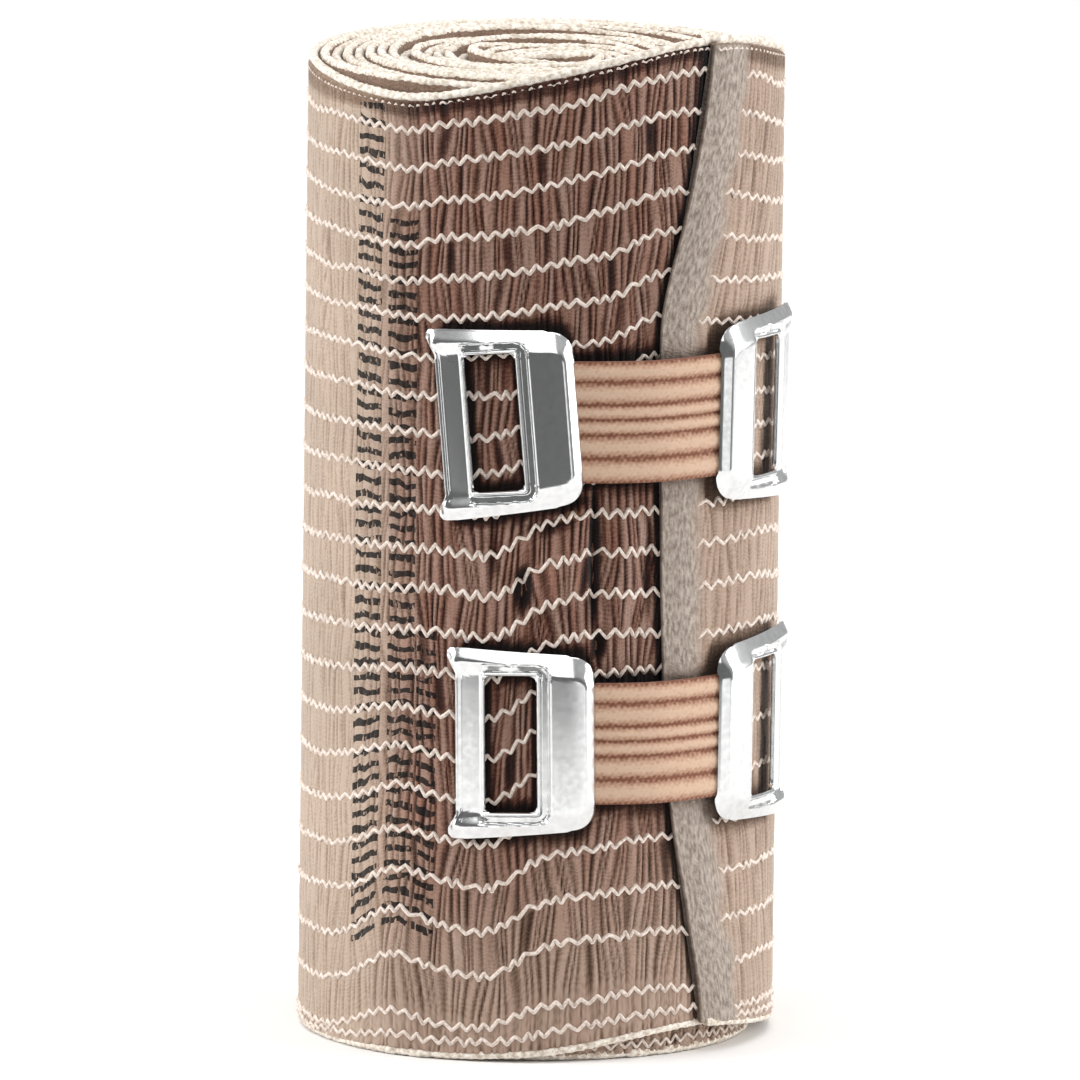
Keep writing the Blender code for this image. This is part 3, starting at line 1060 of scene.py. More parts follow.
@dataclass
class CrepeWeave:
    """The pleats that the elastic yarns draw, between the rows of cream thread."""

    top_row_mm: float = 96.2
    row_pitch_mm: float = 3.9
    row_growth_mm: float = 0.0176
    rows: int = 23
    foot_row_mm: float = 1.1
    width_mm: float = 100.0
    foot_bare_mm: float = 0.55
    top_bare_mm: float = 1.0
    pleat_mm: float = 0.84
    pleat_depth: float = 0.32 * MM
    puff: float = 0.16 * MM
    sink: float = 0.12 * MM
    row_steps: tuple[float, ...] = (0.0, 0.13, 0.37, 0.63, 0.87)
    # How far the pleats lean aside for each millimetre of height, and how their spacing varies
    leans: tuple[Sway, ...] = (Sway(0.16, 11.0), Sway(0.06, 4.0))
    spacing: Sway = Sway(0.42, 2.9)
    crest_power: float = 0.82
    least_depth: float = 0.55
    depth_spread: float = 0.45
    least_tint: float = 0.15
    tint_spread: float = 0.6
    hem_mm: tuple[float, float] = (5.2, 3.9)
    hem_power: float = 1.5
    hem_sway: Sway = Sway(0.5, 9.0)
    hem_fade_mm: float = 1.9
    # The opened share also paints the roll's sides paler, as painted light from the side lamps
    most_opened: float = 0.95
    # Back angles from which the pleats tighten at the front, and open beside the free end, each
    # with the degrees that it takes, and how much tighter the pleats are at the free end
    front_tightens: tuple[float, float] = (262.0, 26.0)
    right_opens: tuple[float, float] = (15.0, 50.0)
    right_tightness: float = 0.35

    def thread_rows(self) -> np.ndarray:
        """Heights of the cream threads in the weave, in millimetres, from the foot up."""
        index = np.arange(self.rows)[::-1]
        rows = self.top_row_mm - self.row_pitch_mm * index - self.row_growth_mm * index**2
        return np.concatenate([[self.foot_row_mm], rows])

    def mesh_rows(self) -> np.ndarray:
        """Heights of the mesh's rows, in millimetres: several in each band between two threads."""
        ends = [self.foot_bare_mm], [self.width_mm - self.top_bare_mm]
        limits = np.concatenate([ends[0], self.thread_rows(), ends[1]])
        rows = [
            low + (high - low) * step
            for low, high in zip(limits, limits[1:])
            for step in self.row_steps
        ]
        return np.array([*rows, limits[-1]])

    def opened(self, back: np.ndarray) -> np.ndarray:
        """How far the cloth is pulled open, from 0 where its pleats are tight; the same share also paints
        the roll's sides paler, as painted light.
        """
        front, right = (
            smooth((back - start) / spread) for start, spread in (self.front_tightens, self.right_opens)
        )
        return self.most_opened * (1.0 - front) * (1.0 - self.right_tightness * (1.0 - right))

    def relief_and_shade(self, girth_mm: np.ndarray, up_mm: np.ndarray) -> tuple[np.ndarray, np.ndarray]:
        """The pleats.

        Args:
            girth_mm: Places along the strip, one for each column.
            up_mm: Places up the weave, one for each row.

        Returns:
            How high the cloth stands, from 0 in a furrow to 1 on a crest, and each pleat's tint.
        """
        threads = self.thread_rows()
        bands = np.searchsorted(threads, up_mm + 0.001)
        relief_and_shade = np.ones((len(girth_mm), len(up_mm)))
        tint = np.full_like(relief_and_shade, 0.5)
        for band in np.unique(bands):
            inside = bands == band
            below = threads[band - 1] if band > 0 else 0.0
            above = threads[band] if band < len(threads) else self.width_mm
            across = up_mm[inside] - (below + above) / 2.0
            seed = SEED + 31 * int(band)
            lean = sum(sway.at(girth_mm, seed + index) for index, sway in enumerate(self.leans))
            along = girth_mm[:, None] + lean[:, None] * across[None, :]
            phase = along / self.pleat_mm + self.spacing.at(along, seed + 2)
            crest = np.abs(np.sin(math.pi * phase)) ** self.crest_power
            pleat = np.floor(phase)
            own, following = (
                self.least_depth + self.depth_spread * scatter(pleat + step, band + 0.5)
                for step in (0.0, 1.0)
            )
            share = smooth(phase - pleat)
            relief_and_shade[:, inside] = 1.0 - (own * (1.0 - share) + following * share) * (1.0 - crest)
            tint[:, inside] = self.least_tint + self.tint_spread * scatter(pleat, band + 7.5)
        return relief_and_shade, tint

    def hem(self, girth_mm: np.ndarray, up_mm: np.ndarray) -> np.ndarray:
        """How much of the smooth band at the free end shows, from 0 to 1."""
        share = up_mm / self.width_mm
        at_edges, at_waist = self.hem_mm
        reach = at_waist + (at_edges - at_waist) * np.abs(2.0 * share - 1.0) ** self.hem_power
        reach = reach + self.hem_sway.at(up_mm, SEED + 3)
        return 1.0 - smooth((girth_mm[:, None] - reach[None, :]) / self.hem_fade_mm + 0.5)


class Footprint(NamedTuple):
    """The patch of cloth under a plate or a web, how it tapers, and where a plate's window is."""

    angle: float
    tilt: float
    half_length: float
    half_height: float
    taper: float
    window_middle: float
    has_window: bool


class Zone(NamedTuple):
    """A stretch of the last turn between two back angles, and how wide its mesh's columns are."""

    start: float
    stop: float
    column: float


@dataclass
class Bandage:
    """The cloth strip: its outer turn with every pleat, the turns inside it, threads and edges."""

    roll: Roll
    weave: CrepeWeave
    outer_turn: float = 372.0
    column_zones: tuple[Zone, ...] = (
        Zone(0.0, 60.0, 0.25 * MM),
        Zone(60.0, 250.0, 0.40 * MM),
        Zone(250.0, 372.0, 0.14 * MM),
    )
    inner_columns_per_turn: int = 84
    inner_rows_mm: tuple[float, ...] = (0.55, 1.1, 1.8, 2.6, 3.4, 4.2, 50.0, 98.6, 99.5)
    inner_plain: float = 0.6
    revealed: Zone = Zone(650.0, 790.0, 0.25 * MM)
    revealed_fade: float = 4.0
    revealed_row_mm: float = 1.5
    # How the covered turns' top edges vary, by turn, and the few that stand up at the front left
    edge_sway: Sway = Sway(0.3 * MM, 1.35)
    edge_fade: float = 120.0
    inner_stand: float = 0.8 * MM
    stand_angle: float = -30.0
    stand_spread: float = 42.0
    stand_turns: float = 2.6
    cream_thread: float = 0.215 * MM
    # How far from the outer turn's two ends the threads stop, in degrees
    thread_ends: tuple[float, float] = (0.6, 6.0)
    thread_points: int = 4000
    thread_lift: float = 0.1 * MM
    lift_sway: Sway = Sway(0.05 * MM, 3.3)
    thread_hem_sink: float = 0.36 * MM
    thread_hem_thins: float = 0.25
    stitch_sway: Sway = Sway(0.16, 5.0)
    reach_sway: Sway = Sway(0.22, 2.6)
    row_sway: Sway = Sway(0.12 * MM, 13.0)
    opened_shrinks: float = 0.25
    # How much wider the zigzags are at the waist, the waist's height and its half width
    waist_widens: tuple[float, float, float] = (0.35, 45.0, 16.0)
    dotted_thread: float = 0.12 * MM
    dotted_row_mm: float = 1.3
    dotted_mm: float = 0.9
    dotted_offset: float = 0.14 * MM
    dotted_lift: float = 0.12 * MM
    dotted_base: float = 0.02 * MM
    pinch_depth: float = 0.25 * MM
    pinch_reach: float = 0.9 * MM
    # The painted contact shadow beside the clips: how far it reaches, how it is flattened up and down, and
    # how dark it is
    contact_reach: float = 0.45 * MM
    contact_flattening: float = 0.6
    footprint_corner: float = 1.4 * MM
    painted_shadow_dark: float = 0.28
    window_half: tuple[float, float] = (2.65 * MM, 7.0 * MM)
    window_offset: float = 1.55 * MM
    plate_half: tuple[float, float] = (7.0 * MM, 9.35 * MM)
    plate_taper: float = 0.064
    web_half: tuple[float, float] = (11.0 * MM, 6.2 * MM)
    # How near a thread the cloth sinks, and the share of the pleats' depth that is left beside it
    thread_hug_mm: float = 0.75
    thread_depth: float = 0.25
    thread_level: float = 0.6
    # Shares of the pleats' depth that the hem and the pull of the winding take away
    hem_calm: float = 0.8
    opened_calm: float = 0.45
    # The depth at which a crease's painted shade is full, and how far the painted shade evens out and
    # darkens the cloth
    crease_full: float = 0.6 * MM
    crease_shade_share: float = 0.95
    crease_shade_dark: float = 0.12
    edge_strip_mm: float = 2.7
    edge_strip_fade_mm: float = 0.5
    edge_strip_dark: float = 0.55
    end_press_mm: float = 2.5
    wall_relief: float = 0.75
    wall_rows: int = 7
    wall_round_mm: float = 0.25
    wall_foot_mm: float = 0.1
    zigzag_mm: float = 1.44
    zigzag_reach: float = 0.32 * MM
    zigzag_corners: tuple[tuple[float, float], ...] = (
        (0.0, 0.0),
        (0.22, 1.0),
        (0.28, 1.0),
        (0.5, 0.0),
        (0.72, -1.0),
        (0.78, -1.0),
    )
    dotted_points: int = 640
    end_press: float = 0.35 * MM
    # How much paler the cloth's colour turns towards its foot, and over what height
    foot_paling: float = 0.55
    foot_paling_mm: float = 24.0
    # The painted shade beside the free end, and how far the cloth sinks in it
    shade_reach: float = 0.5 * MM
    # How much wider the end's shade is near the top, the share of the height, and how fast
    shade_widens: tuple[float, float, float] = (1.6, 0.82, 0.12)
    shade_limit: float = 20.0
    shade_sink: float = 0.15 * MM
    # How much weaker the painted contact shadow is on opened cloth, and how much the hem gives way under
    # painted contact shadow and crease shade
    contact_opened: float = 0.5
    hem_under_contact_shadow: float = 0.7
    hem_under_crease_shade: float = 0.8
    end_wall: float = 0.15 * MM
    end_face: float = 0.02
    selvedge: float = 0.5 * MM
    selvedge_depth: float = 0.44 * MM
    selvedge_bead_mm: float = 0.95
    selvedge_points_per_bead: float = 3.0
    selvedge_ends: tuple[float, float] = (0.5, 3.0)
    # Shares of the selvedge's radius: the usual one, and how far its beads swell and narrow it
    selvedge_shares: tuple[float, float] = (0.9, 0.1)
    selvedge_uneven: Sway = Sway(0.05, 4.0)
    selvedge_phase: Sway = Sway(1.0, 6.0)
    selvedge_sway: Sway = Sway(0.06 * MM, 3.0)
    selvedge_inset: float = 0.03 * MM
    selvedge_top_rise: float = 0.12 * MM

    def build(self) -> list[bpy.types.Object]:
        """Builds and dresses the strip.

        Returns:
            Its pieces.
        """
        roll = self.roll
        finish = SkinColouredCrepe().build(self.ink_columns())
        outer = self.outer_turn_piece()
        inner = self.inner_turns_piece()
        outer_length = float(roll.girth(self.outer_turn))
        whole_length = float(roll.girth(roll.turns * TURN))
        for piece, length in ((outer, outer_length), (inner, whole_length - outer_length)):
            piece.data.materials.append(finish)
            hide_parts("bandage")
        threads = self.zigzag_threads()
        threads.data.materials.append(SpunYarn("cream_cotton_thread", "#f1e4da", "#c9b8aa").build())
        edging = SpunYarn("woven_selvedge", "#f6efe4", "#bfae9b", 0.5).build()
        selvedges = [self.selvedge_piece("selvedge_top", 1.0), self.selvedge_piece("selvedge_foot", 0.0)]
        for piece in selvedges:
            piece.data.materials.append(edging)
        pieces = [outer, inner, threads, *selvedges]
        for piece in pieces:
            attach(piece, "root")
        return pieces

    def ink_columns(self) -> list[InkColumn]:
        """Places of the plain gauge ticks that stand where the cloth is stamped."""
        columns = []
        for angle, half_width, height, half_height in (
            (-46.0, 1.9, 54.0, 45.0),
            (-35.2, 1.6, 48.0, 39.0),
            (-28.0, 1.1, 26.0, 17.0),
        ):
            middle = self.roll.girth((angle - self.roll.end_angle) % TURN) / MM
            columns.append(InkColumn(float(middle), half_width, height, half_height))
        return columns

    def outer_turn_piece(self) -> bpy.types.Object:
        """The last turn and a little more, as one closed wall with the pleats on its outer face."""
        roll, weave = self.roll, self.weave
        back = self.column_angles()[:, None]
        girth_mm = roll.girth(back[:, 0]) / MM
        up_mm = weave.mesh_rows()
        relief_and_shade, tint = weave.relief_and_shade(girth_mm, up_mm)
        hem = weave.hem(girth_mm, up_mm)
        opened = weave.opened(back)
        nearest = np.abs(up_mm[:, None] - weave.thread_rows()[None, :]).min(axis=1)[None, :]
        swell = smooth(nearest / self.thread_hug_mm)
        kept = self.thread_depth + (1.0 - self.thread_depth) * swell
        relief_and_shade = 1.0 - (1.0 - relief_and_shade) * kept * (1.0 - self.hem_calm * hem)
        relief_and_shade = 1.0 - (1.0 - relief_and_shade) * (1.0 - self.opened_calm * opened)
        lift = weave.pleat_depth * (relief_and_shade - 1.0) + weave.puff * (swell - self.thread_level) * (1.0 - hem)
        share = roll.share_of(back, up_mm[None, :] * MM / roll.width)
        lift = lift + self.dents(back, share)
        lift = lift - self.end_press * (1.0 - smooth(girth_mm / self.end_press_mm))[:, None]
        # A crease's depth is painted as shade into the cloth's colour
        shadow = smooth(-roll.bulge(back, share, CREASES) / self.crease_full)
        relief_and_shade = relief_and_shade * (1.0 - self.crease_shade_share * shadow) - self.crease_shade_dark * shadow
        edge_strip = smooth((up_mm - weave.width_mm + self.edge_strip_mm) / self.edge_strip_fade_mm)
        relief_and_shade = relief_and_shade * (1.0 - self.edge_strip_dark * edge_strip[None, :])
        # The free end's shadow and the clips' contact shadows are painted into the cloth's colour, and the
        # hem gives way under them
        end_shade = self.end_shadow(back, share)
        lift = lift - self.shade_sink * end_shade
        contact_shadow = self.contact_shade(back, share) * (1.0 - self.contact_opened * opened)
        dark = np.maximum(end_shade, contact_shadow)
        relief_and_shade = relief_and_shade * (1.0 - dark) - self.painted_shadow_dark * dark
        hem = hem * (1.0 - self.hem_under_contact_shadow * contact_shadow) * (1.0 - self.hem_under_crease_shade * shadow)
        # The free end's cut face gets the darkest colour, as painted shade
        relief_and_shade[0] = 0.0
        hem[0] = 0.0
        lift[0] = self.end_wall - roll.thickness
        height_mm, depth_mm = self.wall_profile(up_mm)
        wall_lift = self.all_round(lift, 0.0) - depth_mm * MM
        places = roll.at_weave(back, height_mm[None, :] * MM / roll.width, wall_lift)
        traits = {
            "weave": stack(girth_mm[:, None], height_mm, depth_mm),
            "relief_and_shade": self.all_round(relief_and_shade, self.wall_relief),
            "tint": self.all_round(tint, self.wall_relief),
            "hem": self.all_round(hem, 0.0),
            "stretch": opened + (1.0 - opened) * self.paler_towards_foot(height_mm),
        }
        return self.wall("bandage_outer_turn", places, traits, 75.0)

    def wall(
        self, name: str, places: np.ndarray, traits: dict[str, np.ndarray], sharp: float
    ) -> bpy.types.Object:
        """Makes a closed wall of cloth.

        Args:
            name: The new piece's name.
            places: Points in metres, by column and row of its section.
            traits: Named values or vectors for the materials, by column and row.
            sharp: The angle in degrees above which its edges stay sharp.

        Returns:
            The piece.
        """
        piece = shaped_grid(name, places, traits)
        close_and_face_outwards(piece)
        shade(piece, sharp)
        return piece

    def all_round(self, face: np.ndarray, elsewhere: float) -> np.ndarray:
        """Values all round a wall, from those of its outer face and one for everywhere else."""
        # Two rows over the top and two under the foot join the rows of the inside
        sides = np.full((len(face), self.wall_rows + 4), elsewhere)
        return np.concatenate([face, sides, face[:, :1]], axis=1)

    def paler_towards_foot(self, up_mm: np.ndarray) -> np.ndarray:
        """How much paler the cloth's colour turns towards its foot, from 0 to 1, for each row."""
        return self.foot_paling * (1.0 - smooth(up_mm / self.foot_paling_mm))[None, :]

    def column_angles(self) -> np.ndarray:
        """Back angles of the outer turn's columns, which are closest where the front shows them."""
        angles = [np.array([0.0, self.end_face])]
        for zone in self.column_zones:
            length = float(self.roll.girth(zone.stop) - self.roll.girth(zone.start))
            steps = np.linspace(zone.start, zone.stop, round(length / zone.column) + 1)
            angles.append(steps[1:])
        return np.concatenate(angles)

    def end_shadow(self, back: np.ndarray, share: np.ndarray) -> np.ndarray:
        """How deep a place lies in the shade of the free end, from 0 to 1.

        Args:
            back: Back angles.
            share: Shares of the strip's height.

        Returns:
            1 at the foot of the free end, fading beside it.
        """
        roll = self.roll
        beside = TURN - roll.end_bow * roll.bow(share) - back
        away = np.radians(beside) * roll.radius
        widens, height, spread = self.shade_widens
        reach = self.shade_reach * (1.0 + widens * smooth((share - height) / spread))
        return np.where(beside > -self.shade_limit, bell(away / reach), 0.0)

    def wall_profile(self, up_mm: np.ndarray) -> tuple[np.ndarray, np.ndarray]:
        """The strip's section, up its face, over the top, down the inside and under the foot.

        Args:
            up_mm: Heights of the outer face's rows, in millimetres.

        Returns:
            Heights and depths in millimetres, which end with the face's first row.
        """
        top, foot = up_mm[-1], up_mm[0]
        thick, bend = self.roll.thickness / MM, self.wall_round_mm
        inside = np.linspace(top, foot, self.wall_rows)
        over, under = [top + bend] * 2, [foot - self.wall_foot_mm] * 2
        depths = [bend, thick - bend, *([thick] * self.wall_rows), thick - bend, bend, 0.0]
        return np.array([*up_mm, *over, *inside, *under, foot]), np.array([*(0.0 * up_mm), *depths])

    def inner_turns_piece(self) -> bpy.types.Object:
        """All the turns under the last one, as one closed wall, pleated where its foot shows."""
        roll, weave, shown = self.roll, self.weave, self.revealed
        stop = roll.turns * TURN
        coarse = np.linspace(
            self.outer_turn, stop, round((stop - self.outer_turn) / TURN * self.inner_columns_per_turn)
        )
        coarse = coarse[(coarse < shown.start - 1.0) | (coarse > shown.stop + 1.0)]
        length = float(roll.girth(shown.stop) - roll.girth(shown.start))
        fine = np.linspace(shown.start, shown.stop, round(length / shown.column))
        back = np.sort(np.concatenate([coarse, fine]))[:, None]
        girth_mm = roll.girth(back) / MM
        up_mm = np.array(self.inner_rows_mm)
        height_mm, depth_mm = self.wall_profile(up_mm)
        share = height_mm[None, :] * MM / roll.width
        in_sight = smooth((back - shown.start) / self.revealed_fade)
        in_sight = in_sight * smooth((shown.stop - back) / self.revealed_fade)
        pleats, tints = weave.relief_and_shade(girth_mm[:, 0], up_mm)
        lift = weave.pleat_depth * (pleats - 1.0) * in_sight
        relief_and_shade = self.inner_plain + (pleats - self.inner_plain) * in_sight
        tint = self.inner_plain + (tints - self.inner_plain) * in_sight
        places = roll.at_share(back, share, self.all_round(lift, 0.0) - depth_mm * MM)
        places[..., 2] += self.edge_offset(back) * smooth((share - 0.5) / 0.45)
        plain = np.full(places.shape[:2], self.inner_plain)
        traits = {
            "weave": stack(girth_mm, height_mm, depth_mm),
            "relief_and_shade": self.all_round(relief_and_shade, self.inner_plain),
            "tint": self.all_round(tint, self.inner_plain),
            "hem": 0.0 * plain,
            "stretch": plain,
        }
        return self.wall("bandage_inner_turns", places, traits, 60.0)

    def edge_offset(self, back: np.ndarray) -> np.ndarray:
        """How far a turn's top edge stands above or below its neighbours', in metres."""
        under = back - self.outer_turn
        near = within_half_turn(self.roll.end_angle + back - self.stand_angle)
        stood = bell(near / self.stand_spread) * (1.0 - smooth(under / TURN / self.stand_turns))
        uneven = self.edge_sway.at(back / TURN, SEED + 5) + self.inner_stand * stood
        return uneven * smooth(under / self.edge_fade)

    def zigzag_threads(self) -> bpy.types.Object:
        """The rows of cream zigzag thread on the last turn, and the dotted row under its top edge."""
        weave = self.weave
        start, stop = self.thread_ends[0], self.outer_turn - self.thread_ends[1]
        fine = np.linspace(start, stop, self.thread_points)
        strands = []
        for index, row_mm in enumerate(weave.thread_rows()):
            seed = SEED + 400 + 7 * index
            back, girth_mm, offset = self.zigzag(fine, row_mm, seed)
            hem = weave.hem(girth_mm, np.array([row_mm]))[:, 0]
            lift = self.thread_lift - self.lift_sway.at(girth_mm, seed + 3) - self.thread_hem_sink * hem
            radii = self.cream_thread * (1.0 - self.thread_hem_thins * hem)
            strands.append(self.strand(back, row_mm, offset, lift, radii))
        back = np.linspace(start, stop, self.dotted_points)
        dots = np.sin(2.0 * math.pi * self.roll.girth(back) / MM / self.dotted_mm)
        strands.append(
            self.strand(
                back,
                weave.width_mm - self.dotted_row_mm,
                self.dotted_offset * dots,
                self.dotted_lift * dots + self.dotted_base,
                np.full(len(back), self.dotted_thread),
            )
        )
        strands.append(self.revealed_strand())
        return yarns("cream_threads", strands, 0)

    def zigzag(
        self, fine: np.ndarray, row_mm: float, seed: int
    ) -> tuple[np.ndarray, np.ndarray, np.ndarray]:
        """The corners of one row's zigzag.

        Args:
            fine: Close back angles, from the row's start to its end.
            row_mm: The row's height in the weave, in millimetres.
            seed: Picks how its stitches vary.

        Returns:
            Back angles, places along the strip in millimetres, and offsets up in metres.
        """
        fine_mm = self.roll.girth(fine) / MM
        steps, heights = (np.array(column) for column in zip(*self.zigzag_corners))
        phase = fine_mm / self.zigzag_mm + self.stitch_sway.at(fine_mm, seed)
        phase = np.maximum.accumulate(phase)
        waves = np.arange(math.ceil(phase[0]), math.floor(phase[-1]))
        corners = (waves[:, None] + steps[None, :]).ravel()
        girth_mm = np.interp(corners, phase, fine_mm)
        back = np.interp(girth_mm, fine_mm, fine)
        widens, waist_mm, spread_mm = self.waist_widens
        reach = self.zigzag_reach * (1.0 + self.reach_sway.at(girth_mm, seed + 1))
        reach = reach * (1.0 - self.opened_shrinks * self.weave.opened(back))
        reach = reach * (1.0 + widens * bell((row_mm - waist_mm) / spread_mm))
        offset = reach * np.tile(heights, len(waves)) + self.row_sway.at(girth_mm, seed + 2)
        return back, girth_mm, offset

    def revealed_strand(self) -> Strand:
        """The thread near the foot of the turn that shows under the raised foot of the last one."""
        roll, shown = self.roll, self.revealed
        fine = np.linspace(shown.start + self.revealed_fade, shown.stop - self.revealed_fade, 1400)
        back, _, offset = self.zigzag(fine, self.revealed_row_mm, SEED + 390)
        foot, top = roll.edges(back)
        share = (self.revealed_row_mm * MM + offset - foot) / (top - foot)
        return Strand(roll.at_share(back, share, 0.0), np.full(len(back), 0.8 * self.cream_thread))

    def strand(
        self,
        back: np.ndarray,
        row_mm: float,
        offset: np.ndarray,
        lift: np.ndarray,
        radii: np.ndarray,
    ) -> Strand:
        """A thread that lies on the last turn.

        Args:
            back: Back angles along it.
            row_mm: The height of its row in the weave, in millimetres.
            offset: How far it stands above its row, in metres.
            lift: How far its middle lies outside the cloth's face.
            radii: Its radius at each place.

        Returns:
            The thread.
        """
        roll = self.roll
        foot, top = roll.edges(back)
        share = roll.share_of(back, np.full_like(back, row_mm * MM / roll.width))
        share = np.maximum(share + offset / (top - foot), 0.3 * MM / roll.width)
        sunk = lift - self.weave.sink + self.dents(back, share)
        return Strand(roll.at_share(back, share, sunk), radii)

    def dents(self, back: np.ndarray, share: np.ndarray) -> np.ndarray:
        """How far the cloth's face stands out through its creases and where the clips pinch it."""
        return self.roll.bulge(back, share, CREASES) - self.pinch_depth * self.pinch(back, share)

    def pinch(self, back: np.ndarray, share: np.ndarray) -> np.ndarray:
        """How hard the clips press on the cloth, from 0 to 1.

        Args:
            back: Back angles.
            share: Shares of the strip's height.

        Returns:
            1 under a clip, fading beside it.
        """
        pressed = np.zeros(np.broadcast(back, share).shape)
        for along, aloft, reach in self.clip_frames(back, share):
            beyond = self.beyond(along, aloft, reach)
            pressed = np.maximum(pressed, bell(beyond / self.pinch_reach))
        return pressed

    def contact_shade(self, back: np.ndarray, share: np.ndarray) -> np.ndarray:
        """How much painted shadow the cloth gets close beside a clip's edges, from 0 to 1.

        Args:
            back: Back angles.
            share: Shares of the strip's height.

        Returns:
            1 under a clip and against its edges, fading away from them.
        """
        shade = np.zeros(np.broadcast(back, share).shape)
        for along, aloft, reach in self.clip_frames(back, share):
            flattened = aloft * self.contact_flattening
            low_reach = reach._replace(
                half_height=reach.half_height * self.contact_flattening,
                taper=reach.taper * self.contact_flattening,
            )
            beside = bell(self.beyond(along, flattened, low_reach) / self.contact_reach)
            within = np.minimum(
                self.window_half[0] - np.abs(along - reach.window_middle),
                self.window_half[1] * self.contact_flattening - np.abs(flattened),
            )
            within = np.maximum(within, 0.0) * reach.has_window
            shade = np.maximum(shade, beside * bell(within / self.contact_reach))
        return shade

    def beyond(self, along: np.ndarray, aloft: np.ndarray, reach: Footprint) -> np.ndarray:
        """How far places lie outside a footprint, in metres.

        Args:
            along: Distances along it from its middle.
            aloft: Distances up it from its middle.
            reach: The footprint.

        Returns:
            The distances, 0 inside it.
        """
        half_height = reach.half_height + reach.taper * np.clip(along, -reach.half_length, reach.half_length)
        beside = np.maximum(np.abs(along) - reach.half_length + self.footprint_corner, 0.0)
        over = np.maximum(np.abs(aloft) - half_height + self.footprint_corner, 0.0)
        return np.maximum(np.hypot(beside, over) - self.footprint_corner, 0.0)

    def clip_frames(
        self, back: np.ndarray, share: np.ndarray
    ) -> Iterator[tuple[np.ndarray, np.ndarray, Footprint]]:
        """Every plate and web, and where places of the strip lie from its middle.

        Args:
            back: Back angles.
            share: Shares of the strip's height.

        Returns:
            For each: distances along it and up it in metres, and the footprint itself.
        """
        roll = self.roll
        foot, top = roll.edges(back)
        height = foot + (top - foot) * share
        shifted = roll.bowed(back, share)
        for clip in CLIPS:
            between = (clip.left_angle + clip.right_angle) / 2.0
            plates = [
                Footprint(
                    *clip.plate(side),
                    *self.plate_half,
                    side.value * self.plate_taper,
                    side.value * self.window_offset,
                    True,
                )
                for side in HookSide
            ]
            for footprint in (*plates, Footprint(between, 0.0, *self.web_half, 0.0, 0.0, False)):
                turned = within_half_turn(roll.end_angle + shifted - footprint.angle)
                across = np.radians(turned) * roll.radius
                up = height - clip.height * roll.width
                lean = math.radians(footprint.tilt)
                along = across * math.cos(lean) - up * math.sin(lean)
                aloft = across * math.sin(lean) + up * math.cos(lean)
                yield along, aloft, footprint

    def selvedge_piece(self, name: str, edge: float) -> bpy.types.Object:
        """The beaded cord woven along one edge of the whole strip.

        Args:
            name: The piece's name.
            edge: 1 for the top edge, 0 for the foot.

        Returns:
            The piece.
        """
        roll = self.roll
        start_mm, end_angle = self.selvedge_ends
        last = roll.turns * TURN - end_angle
        whole_mm = float(roll.girth(last)) / MM
        count = round(whole_mm / self.selvedge_bead_mm * self.selvedge_points_per_bead)
        wanted = np.linspace(start_mm, whole_mm, count)
        fine = np.linspace(0.0, last, self.thread_points)
        back = np.interp(wanted, roll.girth(fine) / MM, fine)
        phase = 2.0 * math.pi * wanted / self.selvedge_bead_mm + self.selvedge_phase.at(wanted, SEED + 9)
        usual, beaded = self.selvedge_shares
        shares = usual + beaded * np.sin(phase) + self.selvedge_uneven.at(wanted, SEED + 10)
        inset = self.selvedge + self.selvedge_inset
        share = np.full(count, edge) + (0.5 - edge) * 2.0 * inset / roll.width
        sway = self.selvedge_sway.at(wanted, SEED + 11)
        places = roll.at_share(back, share, sway - self.selvedge_depth)
        if edge > 0.5:
            places[:, 2] += self.edge_offset(back) + self.selvedge_top_rise
        return yarns(name, [Strand(places, self.selvedge * shares)], 1)


# A plate's ear, from its foot to its tip, in shares of its length and its height
EAR = (
    (0.0, 0.0),
    (-0.35, 0.25),
    (-0.8, 0.45),
    (-1.0, 0.65),
    (-0.95, 0.85),
    (-0.6, 0.98),
    (-0.2, 1.0),
    (0.2, 1.0),
    (0.5, 1.0),
)


